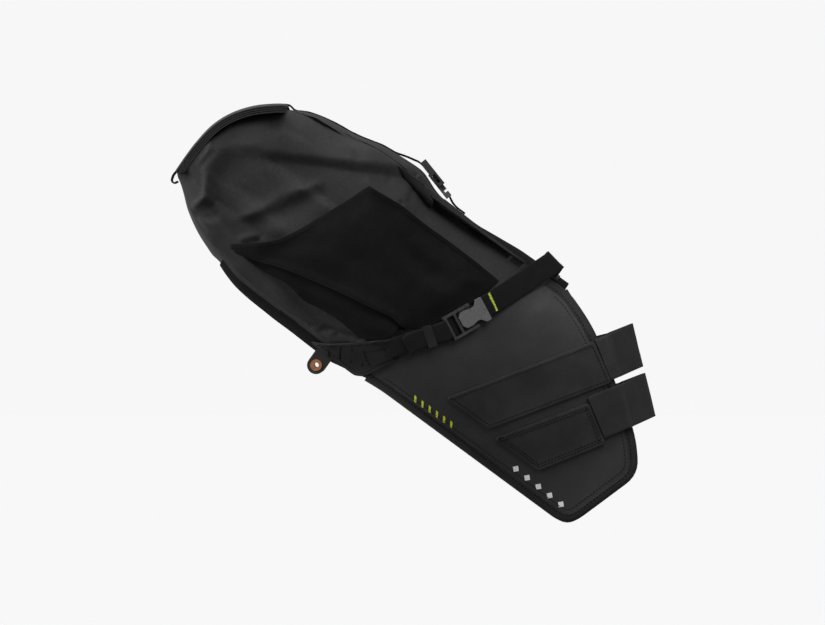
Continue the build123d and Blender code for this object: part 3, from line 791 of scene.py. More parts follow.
# ---- soft body: where the cloth folds, on the left side, (along, up) ----
FOLDS = (
    # path, depth (a ridge if under 0), width, shoulder
    (((341, -110.8), (329.1, -94.2), (319.3, -77.5), (311.5, -61.1), (299.8, -44.1), (289.6, -28.1)),
     -2.8, 4.2, 0.0),
    (((330, -112), (318, -95), (308, -78), (300, -61), (289, -45), (280, -30)), 3.0, 9.0, 0.0),
    (((356, -106), (345, -90), (336, -74), (326, -56), (314, -38)), 1.2, 9.0, 0.0),
    (((370.6, -122.7), (358.8, -120.8), (348, -113.2)), 1.4, 3.6, 0.8),
    (((325.8, -120.1), (313.8, -105)), -1.5, 3.2, 0.6),
    (((312, -112), (308.6, -104.7)), 1.6, 2.8, 0.0),
    (((387.9, -68), (374.1, -53.8), (353.2, -37.8)), -1.1, 4.5, 0.0),
    (((380, -74), (366, -60), (347, -45)), 1.0, 6.0, 0.0),
    (((366, -26), (349, -18), (330, -14), (309, -14)), 0.9, 5.0, 0.5),
    (((227.4, 15.2), (220.9, -4.4)), 1.1, 3.0, 0.0),
    (((228.8, -2.9), (226.2, -12.5)), 1.0, 2.4, 0.0),
    (((254.3, 10.9), (245.3, 1.3)), 0.9, 2.8, 0.0),
    (((290, 6), (276, -8), (262, -14)), 0.9, 4.5, 0.4),
    (((262, -139), (300, -138), (334, -130)), 0.9, 5.0, 0.0),
)
REAR_FACET = ((392, -66), (387.6, -73.6), (378, -89), (369.5, -103.4), (372, -118))


def body_relief(points):
    """How far the soft cloth stands off the even shape, in millimetres."""
    out = np.zeros(points.shape[:-1])
    for sign in (1, -1):
        near = np.where(points[..., 2] * sign > 30, 1.0, 0.0)
        if not near.any():
            continue
        flat = points[..., :2] + (0.0 if sign > 0 else 3.5, 0.0)
        for path, depth, width, skew in FOLDS:
            out += near * crease(flat, path, depth * (1.0 if sign > 0 else 0.85), width, skew)
        dist, side, share = to_segments(flat, REAR_FACET)
        behind = smooth(dist * -side / 12) * smooth(share / 0.15) * smooth((1 - share) / 0.15)
        out -= near * (6.0 * behind - 1.2 * np.exp(-(dist / 3) ** 2))
    broad = wobble(points * (0.6, 1.0, 1.0), 34.0, 1.7, 1)
    fine = wobble(points * (0.55, 1.0, 1.0), 13.0, 0.55, 2)
    return out + broad + fine


def seam_start(degrees):
    """Front edge of the rear body: the side seam, then the rear of the top panel."""
    angle = 180 - degrees if degrees > 90 else degrees
    if angle > TOP_EDGE:
        return TOP_REAR - 3
    seam = np.array(SIDE_SEAM)
    along = 120.0
    for _ in range(30):
        up = skin(along, degrees)[..., 1]
        along = 0.5 * along + 0.5 * float(np.interp(up, seam[:, 1], seam[:, 0]))
    return min(along - 3, TOP_REAR - 3)


def tube(starts, end, angles, rows, power=1.0):
    u = 1 - (1 - np.linspace(0, 1, rows)) ** power
    along = starts[None, :] + (end - starts[None, :]) * u[:, None]
    return along, np.broadcast_to(angles, along.shape)


CLOTH_SETTINGS = {
    "quality": 4, "mass": 0.15, "tension_stiffness": 20, "compression_stiffness": 20, "shear_stiffness": 8,
    "bending_stiffness": 1.2, "air_damping": 4, "vertex_group_mass": "pin", "pin_stiffness": 6,
    "shrink_min": -0.028, "use_pressure": True, "uniform_pressure_force": 1.5,
}


def coordinates(mesh):
    values = np.empty(len(mesh.vertices) * 3, np.float32)
    mesh.vertices.foreach_get("co", values)
    return values


def settle(grid, pinned):
    """A cloth simulation: the sheet is cut a little too large, blown out and settles into small
    folds. Returns how far each point moved."""
    rows, cols = grid.shape[:2]
    obj = add_mesh("settling", row(grid).reshape(-1, 3), grid_faces(rows, cols))
    group = obj.vertex_groups.new(name="pin")
    for index in np.flatnonzero(pinned.ravel() > 0.01):
        group.add([int(index)], float(pinned.ravel()[index]), "REPLACE")
    cloth = obj.modifiers.new("cloth", "CLOTH")
    for key, value in CLOTH_SETTINGS.items():
        setattr(cloth.settings, key, value)
    cloth.settings.effector_weights.gravity = 0.15
    cloth.collision_settings.use_collision = False
    scene = bpy.context.scene
    for step in range(1, CLOTH_FRAMES + 1):
        scene.frame_set(step)
    done = obj.evaluated_get(bpy.context.evaluated_depsgraph_get()).to_mesh()
    moved = (coordinates(done) - coordinates(obj.data)).reshape(rows, cols, 3) * 1000
    scene.frame_set(1)
    bpy.data.objects.remove(obj, do_unlink=True)
    return moved @ ROW


crown = {}


def make_rear_body():
    fine = 2
    angles = np.linspace(-BASE_EDGE - 1, 180 + BASE_EDGE + 1, 330 // fine + 1)
    starts = np.array([seam_start(a) for a in angles])
    along, degrees = tube(starts, MOUTH, angles, 360 // fine, 1.25)
    grid = skin(along, degrees)
    normals = grid_normals(grid)
    out = normals[..., 2] * np.sign(grid[..., 2])
    if np.median(out[np.abs(grid[..., 2]) > 60]) < 0:
        normals = -normals
    flip = np.median((grid_normals(grid) * normals).sum(-1)) < 0
    edge = np.minimum(np.minimum(along - starts[None, :], MOUTH - along),
                      np.minimum(degrees + BASE_EDGE, 180 + BASE_EDGE - degrees) * 1.9)
    loose = smooth(edge / 14)
    moved = settle(grid, 1 - smooth(edge / 10))
    reach = (moved * normals).sum(-1, keepdims=True)
    crownward = smooth((np.abs(degrees - 90) - 28) / 22)
    free = loose * np.maximum(crownward, smooth((along - 262) / 40)) * smooth((MOUTH - along) / 30)
    grid = grid + normals * np.clip(reach * 0.8, -3.0, 2.4) * free[..., None]
    shoulder = 3.6 * smooth((along - 335) / 25) * np.exp(-((np.abs(degrees - 90) - 38) / 17) ** 2)
    grid = grid + normals * ((body_relief(grid) + shoulder) * loose)[..., None]
    tuck = smooth((along - starts[None, :]) / 4)
    grid = grid - normals * (1.0 * (1 - tuck))[..., None]
    middle = grid[:, grid.shape[1] // 2]
    crown["along"], crown["up"] = middle[:, 0], middle[:, 1]
    dress(thicken(grid_piece("rear_cloth", grid, flip), CLOTH), "ripstop", "root", ["rear_body"])
    faces = grid_faces(*grid.shape[:2])
    flat = grid.reshape(-1, 3)
    for sign in SIDES.values():
        keep = (flat[faces][:, :, 2] * sign > 20).all(1)
        add_layer(sign, flat, faces[keep])


def make_rear_flap():
    angles = np.linspace(180 + BASE_EDGE - 1, 360 - BASE_EDGE + 1, 40)
    along, degrees = tube(np.full(40, BASE_REAR - 6), MOUTH, angles, 40, 1.3)
    under = smooth((along - BASE_REAR) / 12)
    grid = skin(along, degrees, -1.9 + 1.7 * under)
    grid[..., 1] -= wobble(grid, 26, 1.0, 5) * under
    sheet_piece("rear_flap_cloth", grid, (0, -1, 0), CLOTH, "laminated", "root", ["rear_flap"])


def make_top_panel():
    angles = np.linspace(TOP_EDGE, 180 - TOP_EDGE, 30)
    along, degrees = tube(np.full(30, FRONT_WALL[-1][0] + 1.0), TOP_REAR + 1, angles, 60)
    grid = skin(along, degrees, 0.2)
    grid[..., 1] += wobble(grid, 24, 0.9, 6)
    sheet_piece("top_cloth", grid, (0, 1, 0), CLOTH, "nylon", "root", ["top_panel"])


def make_base_panel():
    """Flat from side to side at the front, and round like the bag at the rear."""
    a, p = np.meshgrid(np.linspace(FRONT_WALL[0][0], BASE_REAR, 130), np.linspace(-1, 1, 41), indexing="ij")
    half = side_at(a, FLOOR_LEVEL) - CLOTH - 0.2
    flat = np.stack((a, np.full_like(a, FLOOR_LEVEL), half * p), -1)
    mix = np.clip((a - FLOOR_REAR) / 45, 0, 1)[..., None]
    grid = flat * (1 - mix) + skin(a, 270 + (90 - BASE_EDGE) * p) * mix
    grid[..., 1] -= wobble(grid, 30, 1.0, 7) * smooth((1 - np.abs(p)) / 0.15) * smooth((BASE_REAR - a) / 20)
    sheet_piece("base_cloth", grid, (0, -1, 0), CLOTH, "nylon", "root", ["base_panel"])


def make_front_panel():
    path = resample(rounded(FRONT_WALL, 8, closed=False), 110)
    part = np.linspace(-1, 1, 31)
    half = side_at(path[:, 0], path[:, 1]) - CLOTH - 0.1
    grid = sweep(path, half[:, None] * part)
    normal = grid_normals(grid)
    front = np.where((normal[..., :1] * -1 + normal[..., 1:2] * 0.4) < 0, -1, 1)
    grid = grid + normal * front * (1.28 * (1 - part ** 2))[None, :, None]
    sheet_piece("front_cloth", grid, (-1, 0.6, 0), CLOTH, "nylon", "root", ["front_panel"])


PANEL = [NOSE_TIP, (146.0, -151.6), (163.0, -153.0), *SIDE_SEAM[1:], *FRONT_EDGE[::-1][1:]]
PANEL_CURVES = [12, 14, 1, 30, 30, 2, 14, 20, 14, 16]
BINDING = ((163.0, -153.0), (146.0, -151.6), NOSE_TIP, *FRONT_EDGE[:3], (62.0, 11.0), (84.0, 11.5))
BINDING_CURVES = [0, 14, 16, 14, 20, 20, 12, 0]


def make_side_panel(label, sign):
    patch = Patch(rounded(PANEL, PANEL_CURVES), 3.6, sign, pull=0)
    flat = patch.places()
    ease = smooth((patch.from_edge - 6) / 18)
    lift = ease * (wobble(flat, 46, 1.5, 11 + sign) + wobble(flat, 15, 0.35, 14 + sign))
    lift += 0.9 * ease * np.exp(-((patch.spots[:, 1] + 139) / 6) ** 2) * smooth((patch.spots[:, 0] + 40) / 30)
    lift -= 0.7 * np.exp(-((patch.spots[:, 1] + 131) / 4) ** 2) * ease
    lift = np.maximum(lift, -0.1) + 0.4
    patch.make("side_cloth_" + label, lift, CLOTH, "laminated", ["side_panel_" + label])


def make_binding(label, sign):
    """Tape folded over the panel's edge, with its stitches and the panel's own row inside them."""
    edge = resample(rounded(BINDING, BINDING_CURVES, closed=False), 230)
    profile = np.array(((FLANGE, 0.35), (FLANGE - 0.2, 1.0), (5.2, 1.35), (2.4, 1.3), (0.7, 1.0), (-0.3, 0.2),
                        (-0.6, -0.8), (-0.3, -1.8), (0.8, -2.4), (3.5, -2.7), (FLANGE - 0.2, -2.6),
                        (FLANGE, -2.0)))
    run = unit(np.gradient(edge, axis=0))
    inward = np.column_stack((run[:, 1], -run[:, 0]))
    spots = edge[:, None, :] + inward[:, None, :] * profile[None, :, :1]
    ripple = wobble(np.dstack((spots, np.zeros(spots.shape[:2]))), 11, 0.3, 21 + sign)
    height = side_at(spots[..., 0], spots[..., 1]) + profile[None, :, 1] + ripple
    grid = np.dstack((spots, height * sign))
    obj = grid_piece("binding_" + label, grid, flip_out(grid[:, :4], (0, 0, sign)))
    dress(soften(obj, 0.15, 60), "tape", "root", ["edge_binding_" + label])
    line = edge + inward * (FLANGE - 1.9)
    points = np.column_stack((line, (side_at(line[:, 0], line[:, 1]) + 1.45) * sign))
    thread_run("binding_stitch_" + label, points, np.tile((0, 0, sign), (len(points), 1)), 3.4, 2.6, 0.6)
    line = edge + inward * (FLANGE + 3.2)
    thread_run("panel_stitch_" + label, *lay(line[6:-6], sign, 0.1), 3.2, 2.4, 0.5)


# ---- patches sewn on the sides ----
ANCHORS = {
    "upper": ((97.5, -125.1), (51.3, -125.3), (-12.5, -30.6), (20.9, -10.7)),
    "lower": ((43.3, -129.2), (-4.6, -130.3), (-39.1, -76.8), (-6.3, -56.4)),
}
WING_TOP = ((257.1, -15.1), (225.8, -12.5), (198.5, -13.4), (171.7, -13.5), (144.4, -14.3), (118.5, -16.2))
WING_REAR = ((325.2, -125.6), (312.9, -115.2), (303, -106.6), (293.7, -97.3), (284, -80.8), (271.9, -52.9),
             (264, -33.9), (257.1, -15.1))
WING_PLEAT = ((315.6, -128.9), (298.1, -123.6), (275.1, -115.8), (250.8, -109.8), (219.8, -103.4),
              (194.2, -99.3), (175.3, -95.9), (164, -97.7))
WING_LOWER = ((323.7, -127.5), (302.7, -126.9), (284.4, -126.7), (266.5, -123.8), (245.5, -127.3),
              (232.7, -125.4), (212.4, -123.8), (184.7, -124.6), (166.0, -112.5))
WING_FRONT = ((118, -17), (122, -36), (131, -60), (145, -90))
WING_FOLD = ((256.5, -14.1), (231.9, -26.5), (213.2, -38.8), (197.5, -44.7), (173.7, -46.7), (141.4, -44.1))
WING_BASE = ((221.4, -153.6), (206.2, -144.9), (192.5, -134.1), (164.7, -110.6), (148.8, -120),
             (165.2, -150.5), (172, -154.5))
WING_BOX = ((161.5, -117.5), (153.5, -122.5), (166.0, -141.0), (177.5, -134.0))


def make_anchor(label, level, sign):
    outline = rounded(ANCHORS[level], 2.5)
    patch = Patch(outline, 3.0, sign)
    lift = HYPALON + wobble(patch.places(), 22, 0.5, 31 + sign) * smooth(patch.from_edge / 8)
    name = "{}_{}".format(level, label)
    patch.make("anchor_" + name, lift, HYPALON, "hypalon", ["strap_anchor_" + name])
    side_stitch("anchor_stitch_" + name, inset(outline, 3.0), sign, closed=True)
    if level == "lower":
        side_stitch("anchor_box_" + name, inset(outline, 5.2), sign, closed=True)


def make_gusset(label, sign, pleat):
    """The wing's lower panel, which sags between the pleat and its own lower edge."""
    lower = curve(WING_LOWER, 60)
    patch = Patch(np.vstack((pleat + (0, 5.0), lower[::-1])), 3.0, sign, pull=4)
    sag, _, _ = to_segments(patch.spots, (pleat + lower) / 2)
    lift = HYPALON + 1.8 * np.exp(-(sag / 7) ** 2) + wobble(patch.places() * (0.45, 1, 1), 13, 1.0, 41 + sign)
    patch.make("wing_gusset_" + label, lift, HYPALON, "nylon", ["compression_wing_" + label])


def make_wing(label, sign, pleat):
    main = np.vstack((curve(WING_TOP, 50)[::-1], curve(WING_REAR, 70)[::-1], pleat, WING_FRONT[::-1]))
    patch = Patch(main, 3.2, sign)
    flat = patch.places()
    free, _, share = to_segments(patch.spots, WING_REAR)
    tip = np.exp(-(free / 9) ** 2) * smooth((0.55 - share) / 0.4)
    lip, _, _ = to_segments(patch.spots, WING_PLEAT)
    lift = HYPALON + 0.5 + 2.4 * tip + 1.7 * np.exp(-(lip / 4.5) ** 2) + 2.6 * smooth(patch.from_edge / 22)
    lift += crease(patch.spots, WING_FOLD, 3.4, 7.5, 1.6)
    lift += crease(patch.spots, ((300, -118), (268, -86), (250, -62)), 1.3, 8.0)
    lift += wobble(flat * (0.7, 1, 1), 30, 1.5, 51 + sign) + wobble(flat, 11, 0.35, 54 + sign)
    lift = np.maximum(lift, HYPALON * 0.6)
    obj = patch.make("wing_" + label, lift, HYPALON, "nylon", ["compression_wing_" + label])
    a, b, c = (patch.spots[patch.faces[:, k]] - patch.spots[patch.faces[:, 0]] for k in range(3))
    side_stitch("wing_top_stitch_" + label, curve(WING_TOP, 60)[3:-3] - (0, 3.2), sign)
    side_stitch("wing_rear_stitch_" + label, inset(main, 3.4)[58:92], sign)
    side_stitch("wing_pleat_stitch_" + label, pleat[4:] + (0, 3.0), sign)


def make_wing_foot(label, sign):
    outline = rounded(WING_BASE, 2.0)
    patch = Patch(outline, 2.6, sign)
    lift = HYPALON + 0.4 + wobble(patch.places(), 18, 0.5, 61 + sign)
    patch.make("wing_foot_" + label, lift, HYPALON, "foot", ["wing_base_" + label])
    side_stitch("wing_foot_stitch_" + label, inset(outline, 2.8), sign, closed=True)
    side_stitch("wing_foot_box_" + label, rounded(WING_BOX, 1.0), sign, closed=True)
    for k in range(4):
        x, y = 178.0 + 9.5 * k, -132.5 - 4.6 * k
        ends, normals = lay(((x, y), (x - 6.0, y - 12.0 + 1.2 * k)), sign, 0.15)
        zigzag("wing_bartack_{}_{}".format(k, label), ends[0], ends[1], normals[0], 2.6, 9, "thread")


PRINTS = {
    "lime_ink": [((120.6 - 7.6 * k, -138.4), (118.4 - 7.6 * k, -138.4), (115.6 - 7.6 * k, -143.2),
                  (117.8 - 7.6 * k, -143.2)) for k in range(6)],
    "white_ink": [((x, -136.6 - 0.05 * (13 - x)), (x - 3.2, -139.8 - 0.05 * (13 - x)),
                   (x, -143.0 - 0.05 * (13 - x)), (x + 3.2, -139.8 - 0.05 * (13 - x)))
                  for x in (12, -0.5, -13, -25.5, -38)],
}


def make_prints(label, sign):
    for ink, marks in PRINTS.items():
        points, faces = [], []
        for mark in marks:
            patch = Patch(np.array(mark, float), 1.6, sign, pull=0)
            faces.append(patch.faces + sum(len(p) for p in points))
            points.append(patch.points(0.12))
        obj = add_mesh("print_{}_{}".format(ink, label), row(np.vstack(points)), np.vstack(faces))
        dress(obj, ink, "root")


# ---- straps round the seatpost ----
STRAP_WIDTH = 38.0
STRAP_THICK = 1.9
STRAP_WRAP = 83.0
STRAP_EDGE = 5.5
STRAP_CLEAR = 29.0
STRAP_SETTLE = 26.0
STRAP_TILT = 0.15
FLAP_LIFT = HYPALON + 0.3 + 1.0 + STRAP_THICK
BASE_LIFT = HYPALON + STRAP_THICK
STRAP_LEAVE = math.radians(180 - STRAP_WRAP / 2 - 1)
FLAP_ENDS = {"upper": (15.1, 20.7), "lower": (32.9, 38.7)}


def post_point(rear, side, level):
    rear, side, level = np.broadcast_arrays(rear, side, level)
    return rear[..., None] * POST_REAR + level[..., None] * POST_UP + side[..., None] * ACROSS


def strap_half(level, lift, ends, sign, start=None):
    """Outer face of a strap on one side of the bag, from the post's front or from start to its end."""
    across = np.linspace(-STRAP_WIDTH / 2 - 0.3, STRAP_WIDTH / 2 + 0.3, 15)
    radius = POST_RADIUS + STRAP_THICK
    rows = []
    for z in across:
        share = z / STRAP_WIDTH + 0.5
        end = ends[0] + (ends[1] - ends[0]) * share
        rears = np.linspace(STRAP_EDGE if start is None else start, end, 30)
        height = level + z - STRAP_TILT * (rears - 4)
        spot = post_point(rears, 0.0, height)
        ease = smooth((rears - STRAP_EDGE) / STRAP_SETTLE)
        clear = (STRAP_CLEAR + lift) * (1 - ease)
        under = ground(spot[:, :2], sign) + lift - (HYPALON if layers[sign] else 0)
        out = np.maximum(under, clear)
        line = [post_point(r, o * sign, h) for r, o, h in zip(rears, out, height)]
        if start is None:
            turn = np.linspace(math.pi, STRAP_LEAVE, 12)
            arc = [post_point(radius * math.cos(t), radius * math.sin(t) * sign,
                              level + z - STRAP_TILT * (radius * math.cos(t) - 4)) for t in turn]
            line = arc + line
        rows.append(resample(np.array(line), 90 if start is None else 30))
    grid = np.array(rows)
    for _ in range(3):
        grid[:, 1:-1] = (grid[:, :-2] + 2 * grid[:, 1:-1] + grid[:, 2:]) / 4
    return grid


def make_post_strap(level):
    height = STRAP_LEVELS[level]
    radius = POST_RADIUS + STRAP_THICK / 2
    tangent = np.array((math.cos(STRAP_LEAVE), math.sin(STRAP_LEAVE))) * radius
    meet = np.array((STRAP_EDGE, STRAP_CLEAR))
    run = unit(meet - tangent)
    for sign, lift, ends in ((1, BASE_LIFT, (36.0, 38.0)), (-1, FLAP_LIFT, FLAP_ENDS[level])):
        grid = strap_half(height, lift, ends, sign)
        bend = wobble(grid, 20, 0.45, 71 + sign + len(level))
        normal = grid_normals(grid)
        grid = grid + normal * bend[..., None]
        name = "strap_{}_{}".format(level, "base" if sign > 0 else "flap")
        outward = grid[7, 12] - post_point(0.0, 0.0, height)
        flip = float(np.dot(grid_normals(grid)[7, 12], outward)) < 0
        obj = thicken(grid_piece(name, grid, flip), STRAP_THICK, edge=0.5)
        near, far = tangent - run * 4, tangent + run * 4
        inner = row(post_point(near[0], near[1] * sign, height))
        outer = row(post_point(far[0], far[1] * sign, height))
        if sign > 0:
            dress(obj, "hypalon", None, ["strap_base_" + level, "post_strap_" + level])
            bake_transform(obj)
        else:
            dress(obj, "hypalon", None, ["strap_flap_" + level, "post_strap_" + level])
            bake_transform(obj)
    ends = tuple(e - 1.5 for e in FLAP_ENDS[level])
    grid = strap_half(height, HYPALON + 1.3, ends, -1, start=12.0)[1:-1]
    sheet_piece("hooks_" + level, grid, (0, 0, -1), 1.0, "hook", "flap_" + level, ["hook_pad_" + level])


# ---- webbing and buckles ----
BUCKLE_ENDS = ((129.8, -75.5), (114.1, -41.2))
# the rail strap's end at the buckle's bar: along the leg to the rail, and out of the bag
RAIL_LOOP = ((21, 1.75), (10, 1.9), (2, 1.85), (-1.0, 1.3), (-1.9, 0), (-1.0, -1.3), (2, -0.4), (10, 0.1))


def ribbon(name, path, across, width, thick, seed, wave=0.25):
    """A band along a path, with its own direction across at each point."""
    path, across = np.asarray(path, float), np.broadcast_to(across, np.shape(path))
    both = curve(np.hstack((path, across)), max(12, int(lengths(path)[-1] / 1.2)))
    line, across = both[:, :3], unit(both[:, 3:])
    span = np.linspace(-width / 2, width / 2, 9)
    grid = line[:, None, :] + across[:, None, :] * span[None, :, None]
    grid = grid + grid_normals(grid) * wobble(grid, 9, wave, seed)[..., None]
    uv = np.stack(np.meshgrid(span / 10, lengths(line) / 10), -1).reshape(-1, 2)
    return thicken(grid_piece(name, grid, False, uv), thick, 0.0, edge=0.4)


def normal_at(along, up):
    step = 2.0
    slope_a = (side_at(along + step, up) - side_at(along - step, up)) / (2 * step)
    slope_u = (side_at(along, up + step) - side_at(along, up - step)) / (2 * step)
    return unit(np.array((-slope_a, -slope_u, 1.0)))


def buckle_point(a, b, c):
    """A point from the left buckle's middle: a to the rear along it, b across it, c out of it."""
    rear, front = (np.array((*spot, side_at(*spot) + 6.0)) for spot in BUCKLE_ENDS)
    middle = (rear + front) / 2
    x = unit(rear - front)
    z = normal_at(middle[0], middle[1])
    z = unit(z - x * np.dot(z, x))
    return middle + x * a + np.cross(z, x) * b + z * c


def make_side_web(label, sign):
    flip = np.array((1, 1, sign))
    y = buckle_point(0, 1, 0) - buckle_point(0, 0, 0)
    base = np.array((163.0, -121.0, side_at(163, -121) + HYPALON + 1.9))
    mid = np.array((147.0, -100.0, side_at(147, -100) + 4.0))
    under = -0.6 - WEB_THICK / 2 - 0.15
    path = np.array((base, mid, buckle_point(24.0, 0, under), buckle_point(9.2, 0, under)))
    web = ribbon("web_" + label, path * flip, y * flip, SIDE_WEB, WEB_THICK, 81 + sign, wave=0.2)
    dress(web, "webbing", None, ["webbing_" + label])
    start, end = row(mid * flip), row(buckle_point(22, 0, under) * flip)
    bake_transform(web)
    rise = WEB_THICK + 0.5
    out = normal_at(147, -100) * rise
    tail = np.array((mid + out * 1.1 + (4, -9, 0.6), mid + out, buckle_point(24.5, 0, under + rise),
                     buckle_point(21.4, 0, under + rise + 1.6), buckle_point(19.6, 0, 1.6)))
    obj = ribbon("web_tail_" + label, tail * flip, y * flip, SIDE_WEB - 0.6, WEB_THICK, 84 + sign)
    dress(obj, "webbing", "clip_" + label, ["webbing_tail_" + label])


def make_rail_strap(label, sign):
    """Sewn end, round the buckle's bar, up to the rail, over it and down to its patch."""
    flip = np.array((1, 1, sign))
    y = buckle_point(0, 1, 0) - buckle_point(0, 0, 0)
    rail_rear = np.array((math.cos(RAIL_SLOPE), math.sin(RAIL_SLOPE), 0.0))
    target = buckle_point(-16.4, 0, -0.4)
    radius = RAIL_RADIUS + 0.9
    fall = unit((target - RAIL_CENTRE) - rail_rear * np.dot(target - RAIL_CENTRE, rail_rear))
    outward = unit(np.cross(fall, rail_rear))
    outward = outward if outward[2] > 0 else -outward
    touch = RAIL_CENTRE + outward * radius
    leg = unit(touch - target)
    side_out = unit(np.cross(leg, rail_rear))
    side_out = side_out if side_out[2] > 0 else -side_out
    points = [target + leg * a + side_out * b for a, b in RAIL_LOOP]
    points += [target + (touch - target) * t for t in (0.45, 0.7, 0.92)]
    start = math.atan2(outward[2], outward[1])
    for t in np.linspace(0, math.pi - start, 7):
        points.append(RAIL_CENTRE + radius * np.array(
            (0, math.cos(t) * outward[1] + math.sin(t) * abs(outward[2]),
             math.cos(t) * outward[2] - math.sin(t) * outward[1])))
    inner = RAIL_CENTRE - np.array((0, 0, radius))
    points.append(inner - (0, 3, 0))
    points += [np.array((89.9, up, inner[2] - drop)) for up, drop in ((17.4, 1.5), (17.9, 6.0), (18.4, 13.0))]
    points = np.array(points)
    share = smooth(np.linspace(0, 1, len(points)) * 1.6 - 0.3)[:, None]
    across = unit(y * (1 - share) + rail_rear * share)
    obj = ribbon("rail_loop_" + label, points * flip, across * flip, 19.6, 1.5, 91 + sign, wave=0.3)
    dress(obj, "webbing", "root", ["rail_strap_" + label])
    knot = target + leg * 11 + side_out * 2.75
    width = unit(y) * 8.4
    zigzag("rail_tack_" + label, (knot - width - leg * 0.5) * flip, (knot + width + leg * 0.5) * flip,
           side_out * flip, 2.8, 12, "lime")
    along, degrees = np.meshgrid(np.linspace(76.9, 100.9, 16), np.linspace(67, 83, 14), indexing="ij")
    grid = skin(along, degrees, 1.9) * flip
    sheet_piece("rail_patch_" + label, grid, (0, 1, 0), 1.5, "hypalon", "root", ["rail_strap_patch_" + label])


# ---- closure ----
ROLL_PATH = ((400.2, -103.5), (400.3, -86.0), (399.6, -69.0), (396.8, -50.0), (389.5, -32.0), (377.5, -15.8),
             (361.0, -1.8), (352, 3.0))
ROLL_HALF = 98.5
ROLL_LAYERS = 4
LAYER_STEP = 1.72
TOP_STRAP = ((376.0, -13.4), (361.0, -0.6), (347.0, 7.2), (334.0, 12.6), (311.5, 16.8), (278.0, 21.6),
             (255.0, 24.8), (240.0, 27.2), (233.5, 28.2), (222.0, 26.4))
TOP_LOOP = ((197.4, 20.6, 0), (191.5, 17.0, 0), (186.0, 15.4, 0), (176.0, 14.9, 0))
LAMP_LOOP = ((401.6, -99.5, 0), (402.0, -105.0, 0), (400.4, -109.8, 0), (397.4, -110.4, 0),
             (395.6, -107.2, 0))


def make_roll(spine, inward):
    path = []
    for k in range(ROLL_LAYERS):
        layer = spine + inward * (0.7 + LAYER_STEP * k)
        layer = layer[1 + k % 2:-1 - k % 2]
        path.extend(layer if k % 2 == 0 else layer[::-1])
    path = resample(np.array(path), 420)
    for _ in range(4):
        path[1:-1] = (path[:-2] + 2 * path[1:-1] + path[2:]) / 4
    span = np.linspace(-ROLL_HALF, ROLL_HALF, 70)
    grid = sweep(path, span)
    drift = wobble(grid * (0.5, 0.5, 1), 34, 1.6, 101)
    grid[..., 0] += drift * 0.8
    grid[..., 1] += drift * 0.6
    ends = np.clip((np.abs(span) - 70) / 30, 0, 1) ** 2
    grid[..., 0] -= ends * 2.4
    grid[..., 1] -= ends * 1.2 * smooth((grid[..., 1] + 60) / 60)
    obj = thicken(grid_piece("roll", grid, False), 1.1, 0.0)
    dress(obj, "ripstop", "closure", ["roll_closure"])


def make_roll_board(spine, inward):
    """The stiffener, which lies between the closure's layers."""
    board = spine[14:46] + inward[14:46] * 3.28
    grid = sweep(board, np.linspace(-ROLL_HALF + 8, ROLL_HALF - 8, 24))
    dress(thicken(grid_piece("roll_board", grid, False), 0.5, 0.0), "board", "closure", ["closure_stiffener"])


def make_top_strap():
    path = curve(TOP_STRAP, 60)
    path = resample(path, 60)
    order = np.argsort(crown["along"])
    body = np.interp(path[:, 0], crown["along"][order], crown["up"][order]) + 0.4
    rests = smooth((path[:, 0] - 242) / 18) * smooth((356 - path[:, 0]) / 10)
    path[:, 1] = path[:, 1] * (1 - rests) + body * rests
    path = np.column_stack((path, np.zeros(len(path))))
    strap = ribbon("top_web", path, ACROSS, WEB_WIDTH, WEB_THICK, 111)
    dress(strap, "webbing", None, ["top_strap"])
    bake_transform(strap)


def make_loops():
    for name, path, width, thick, seed, node in (
            ("top_loop", TOP_LOOP, WEB_WIDTH, WEB_THICK, 114, "top_anchor_loop"),
            ("lamp_loop", LAMP_LOOP, 25.0, 1.3, 117, "light_loop")):
        dress(ribbon(name, path, ACROSS, width, thick, seed), "webbing", "root", [node])


def make_closure():
    spine = curve(ROLL_PATH, 60)
    run = unit(np.gradient(spine, axis=0))
    inward = np.column_stack((-run[:, 1], run[:, 0]))
    make_roll(spine, inward)
    make_roll_board(spine, inward)


def make_hard_parts():
    """Moulded parts keep their own shape, with softened edges."""
    for name, node in nodes.items():
        if name.startswith("buckle_"):
            dress_node(node, "male" if name.endswith("_male") else "buckle", 0.35)
        elif name.startswith("tail_keeper"):
            dress_node(node, "foot", 0.3)
        elif name.startswith("post_pad"):
            dress_node(node, "pad", 0.8)
        elif name == "eyelets":
            dress_node(node, "copper", 0.2)
        elif name == "eyelet_tabs":
            dress_node(node, "hypalon", 0.5)
        elif "stiffener" in name and name != "closure_stiffener":
            dress_node(node, "board", 0.3)


def dress_node(node, material, edge):
    node.data.materials.clear()
    node.data.materials.append(M[material])
    soften(node, edge, 35, 3)


# ---- light, floor and camera ----
# name, place and size in metres, and power in watts
LAMPS = (("key", (0.5, -1.1, 1.4), 1.2, 24), ("rear", (-1.6, -0.5, 0.7), 1.0, 50),
         ("top", (-0.3, 0.0, 1.6), 1.2, 22))


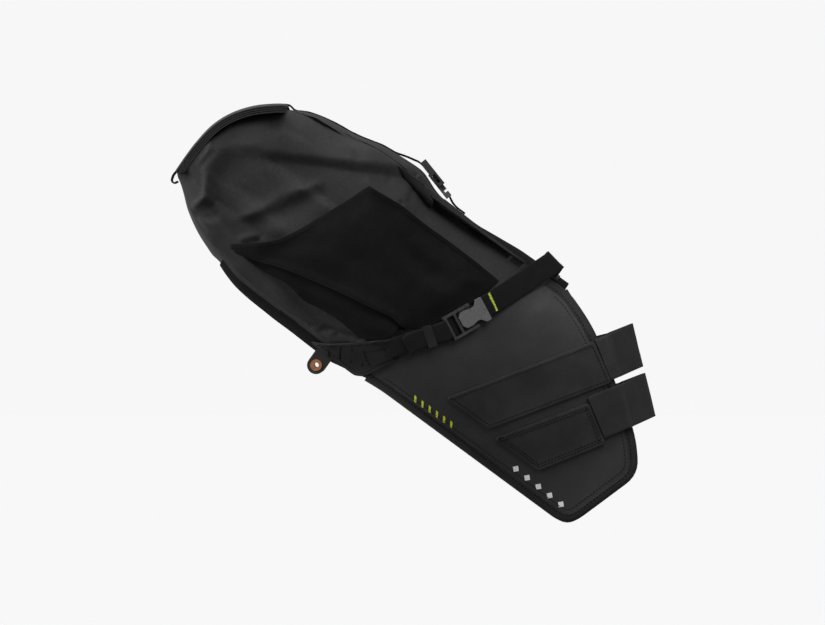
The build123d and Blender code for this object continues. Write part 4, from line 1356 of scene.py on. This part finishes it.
def make_stage():
    scene = bpy.context.scene
    scene.view_settings.view_transform = "Standard"
    world = bpy.data.worlds.new("studio")
    scene.world = world
    world.use_nodes = True
    tree = world.node_tree
    tree.nodes.clear()
    out = tree.nodes.new("ShaderNodeOutputWorld")
    mix = tree.nodes.new("ShaderNodeMixShader")
    seen = tree.nodes.new("ShaderNodeBackground")
    lit = tree.nodes.new("ShaderNodeBackground")
    path = tree.nodes.new("ShaderNodeLightPath")
    seen.inputs[0].default_value = (0.93, 0.93, 0.93, 1)
    lit.inputs[0].default_value = (0.27, 0.27, 0.275, 1)
    tree.links.new(path.outputs["Is Camera Ray"], mix.inputs[0])
    tree.links.new(lit.outputs[0], mix.inputs[1])
    tree.links.new(seen.outputs[0], mix.inputs[2])
    tree.links.new(mix.outputs[0], out.inputs[0])
    floor_points = [(30 * math.cos(t), 30 * math.sin(t), -0.5) for t in np.linspace(0, 2 * math.pi, 64)[:-1]]
    mesh = bpy.data.meshes.new("floor")
    mesh.from_pydata(floor_points, [], [tuple(range(63))])
    floor = bpy.data.objects.new("floor", mesh)
    scene.collection.objects.link(floor)
    s = Shader("floor_paint", 0.9, 0.1)
    s.bsdf.inputs["Base Color"].default_value = (0.1, 0.1, 0.1, 1)
    s.bsdf.inputs["Emission Color"].default_value = (1, 1, 1, 1)
    s.bsdf.inputs["Emission Strength"].default_value = 0.9
    mesh.materials.append(s.material)
    floor.visible_diffuse = False
    floor.visible_glossy = False
    for name, place, size, power in LAMPS:
        light = bpy.data.lights.new(name, "AREA")
        light.size = size
        light.energy = power
        lamp = bpy.data.objects.new(name, light)
        lamp.location = place
        lamp.rotation_euler = (Vector((-0.18, 0, 0.03)) - Vector(place)).to_track_quat("-Z", "Y").to_euler()
        lamp.visible_camera = False
        scene.collection.objects.link(lamp)
    camera = bpy.data.cameras.new("camera")
    camera.sensor_width = 36
    camera.lens = 300.8
    eye = bpy.data.objects.new("camera", camera)
    eye.location = (-0.1819, -6.0, 0.0346)
    eye.rotation_euler = (math.radians(90), 0, 0)
    scene.collection.objects.link(eye)
    scene.camera = eye


make_rear_body()
make_rear_flap()
make_top_panel()
make_base_panel()
make_front_panel()
for label, sign in SIDES.items():
    make_side_panel(label, sign)
    make_binding(label, sign)
    for level in ANCHORS:
        make_anchor(label, level, sign)
    pleat = curve(WING_PLEAT, 60)
    make_gusset(label, sign, pleat)
    make_wing(label, sign, pleat)
    make_wing_foot(label, sign)
    make_prints(label, sign)
    make_side_web(label, sign)
    make_rail_strap(label, sign)
for level in STRAP_LEVELS:
    make_post_strap(level)
make_closure()
make_top_strap()
make_loops()
make_hard_parts()
make_stage()
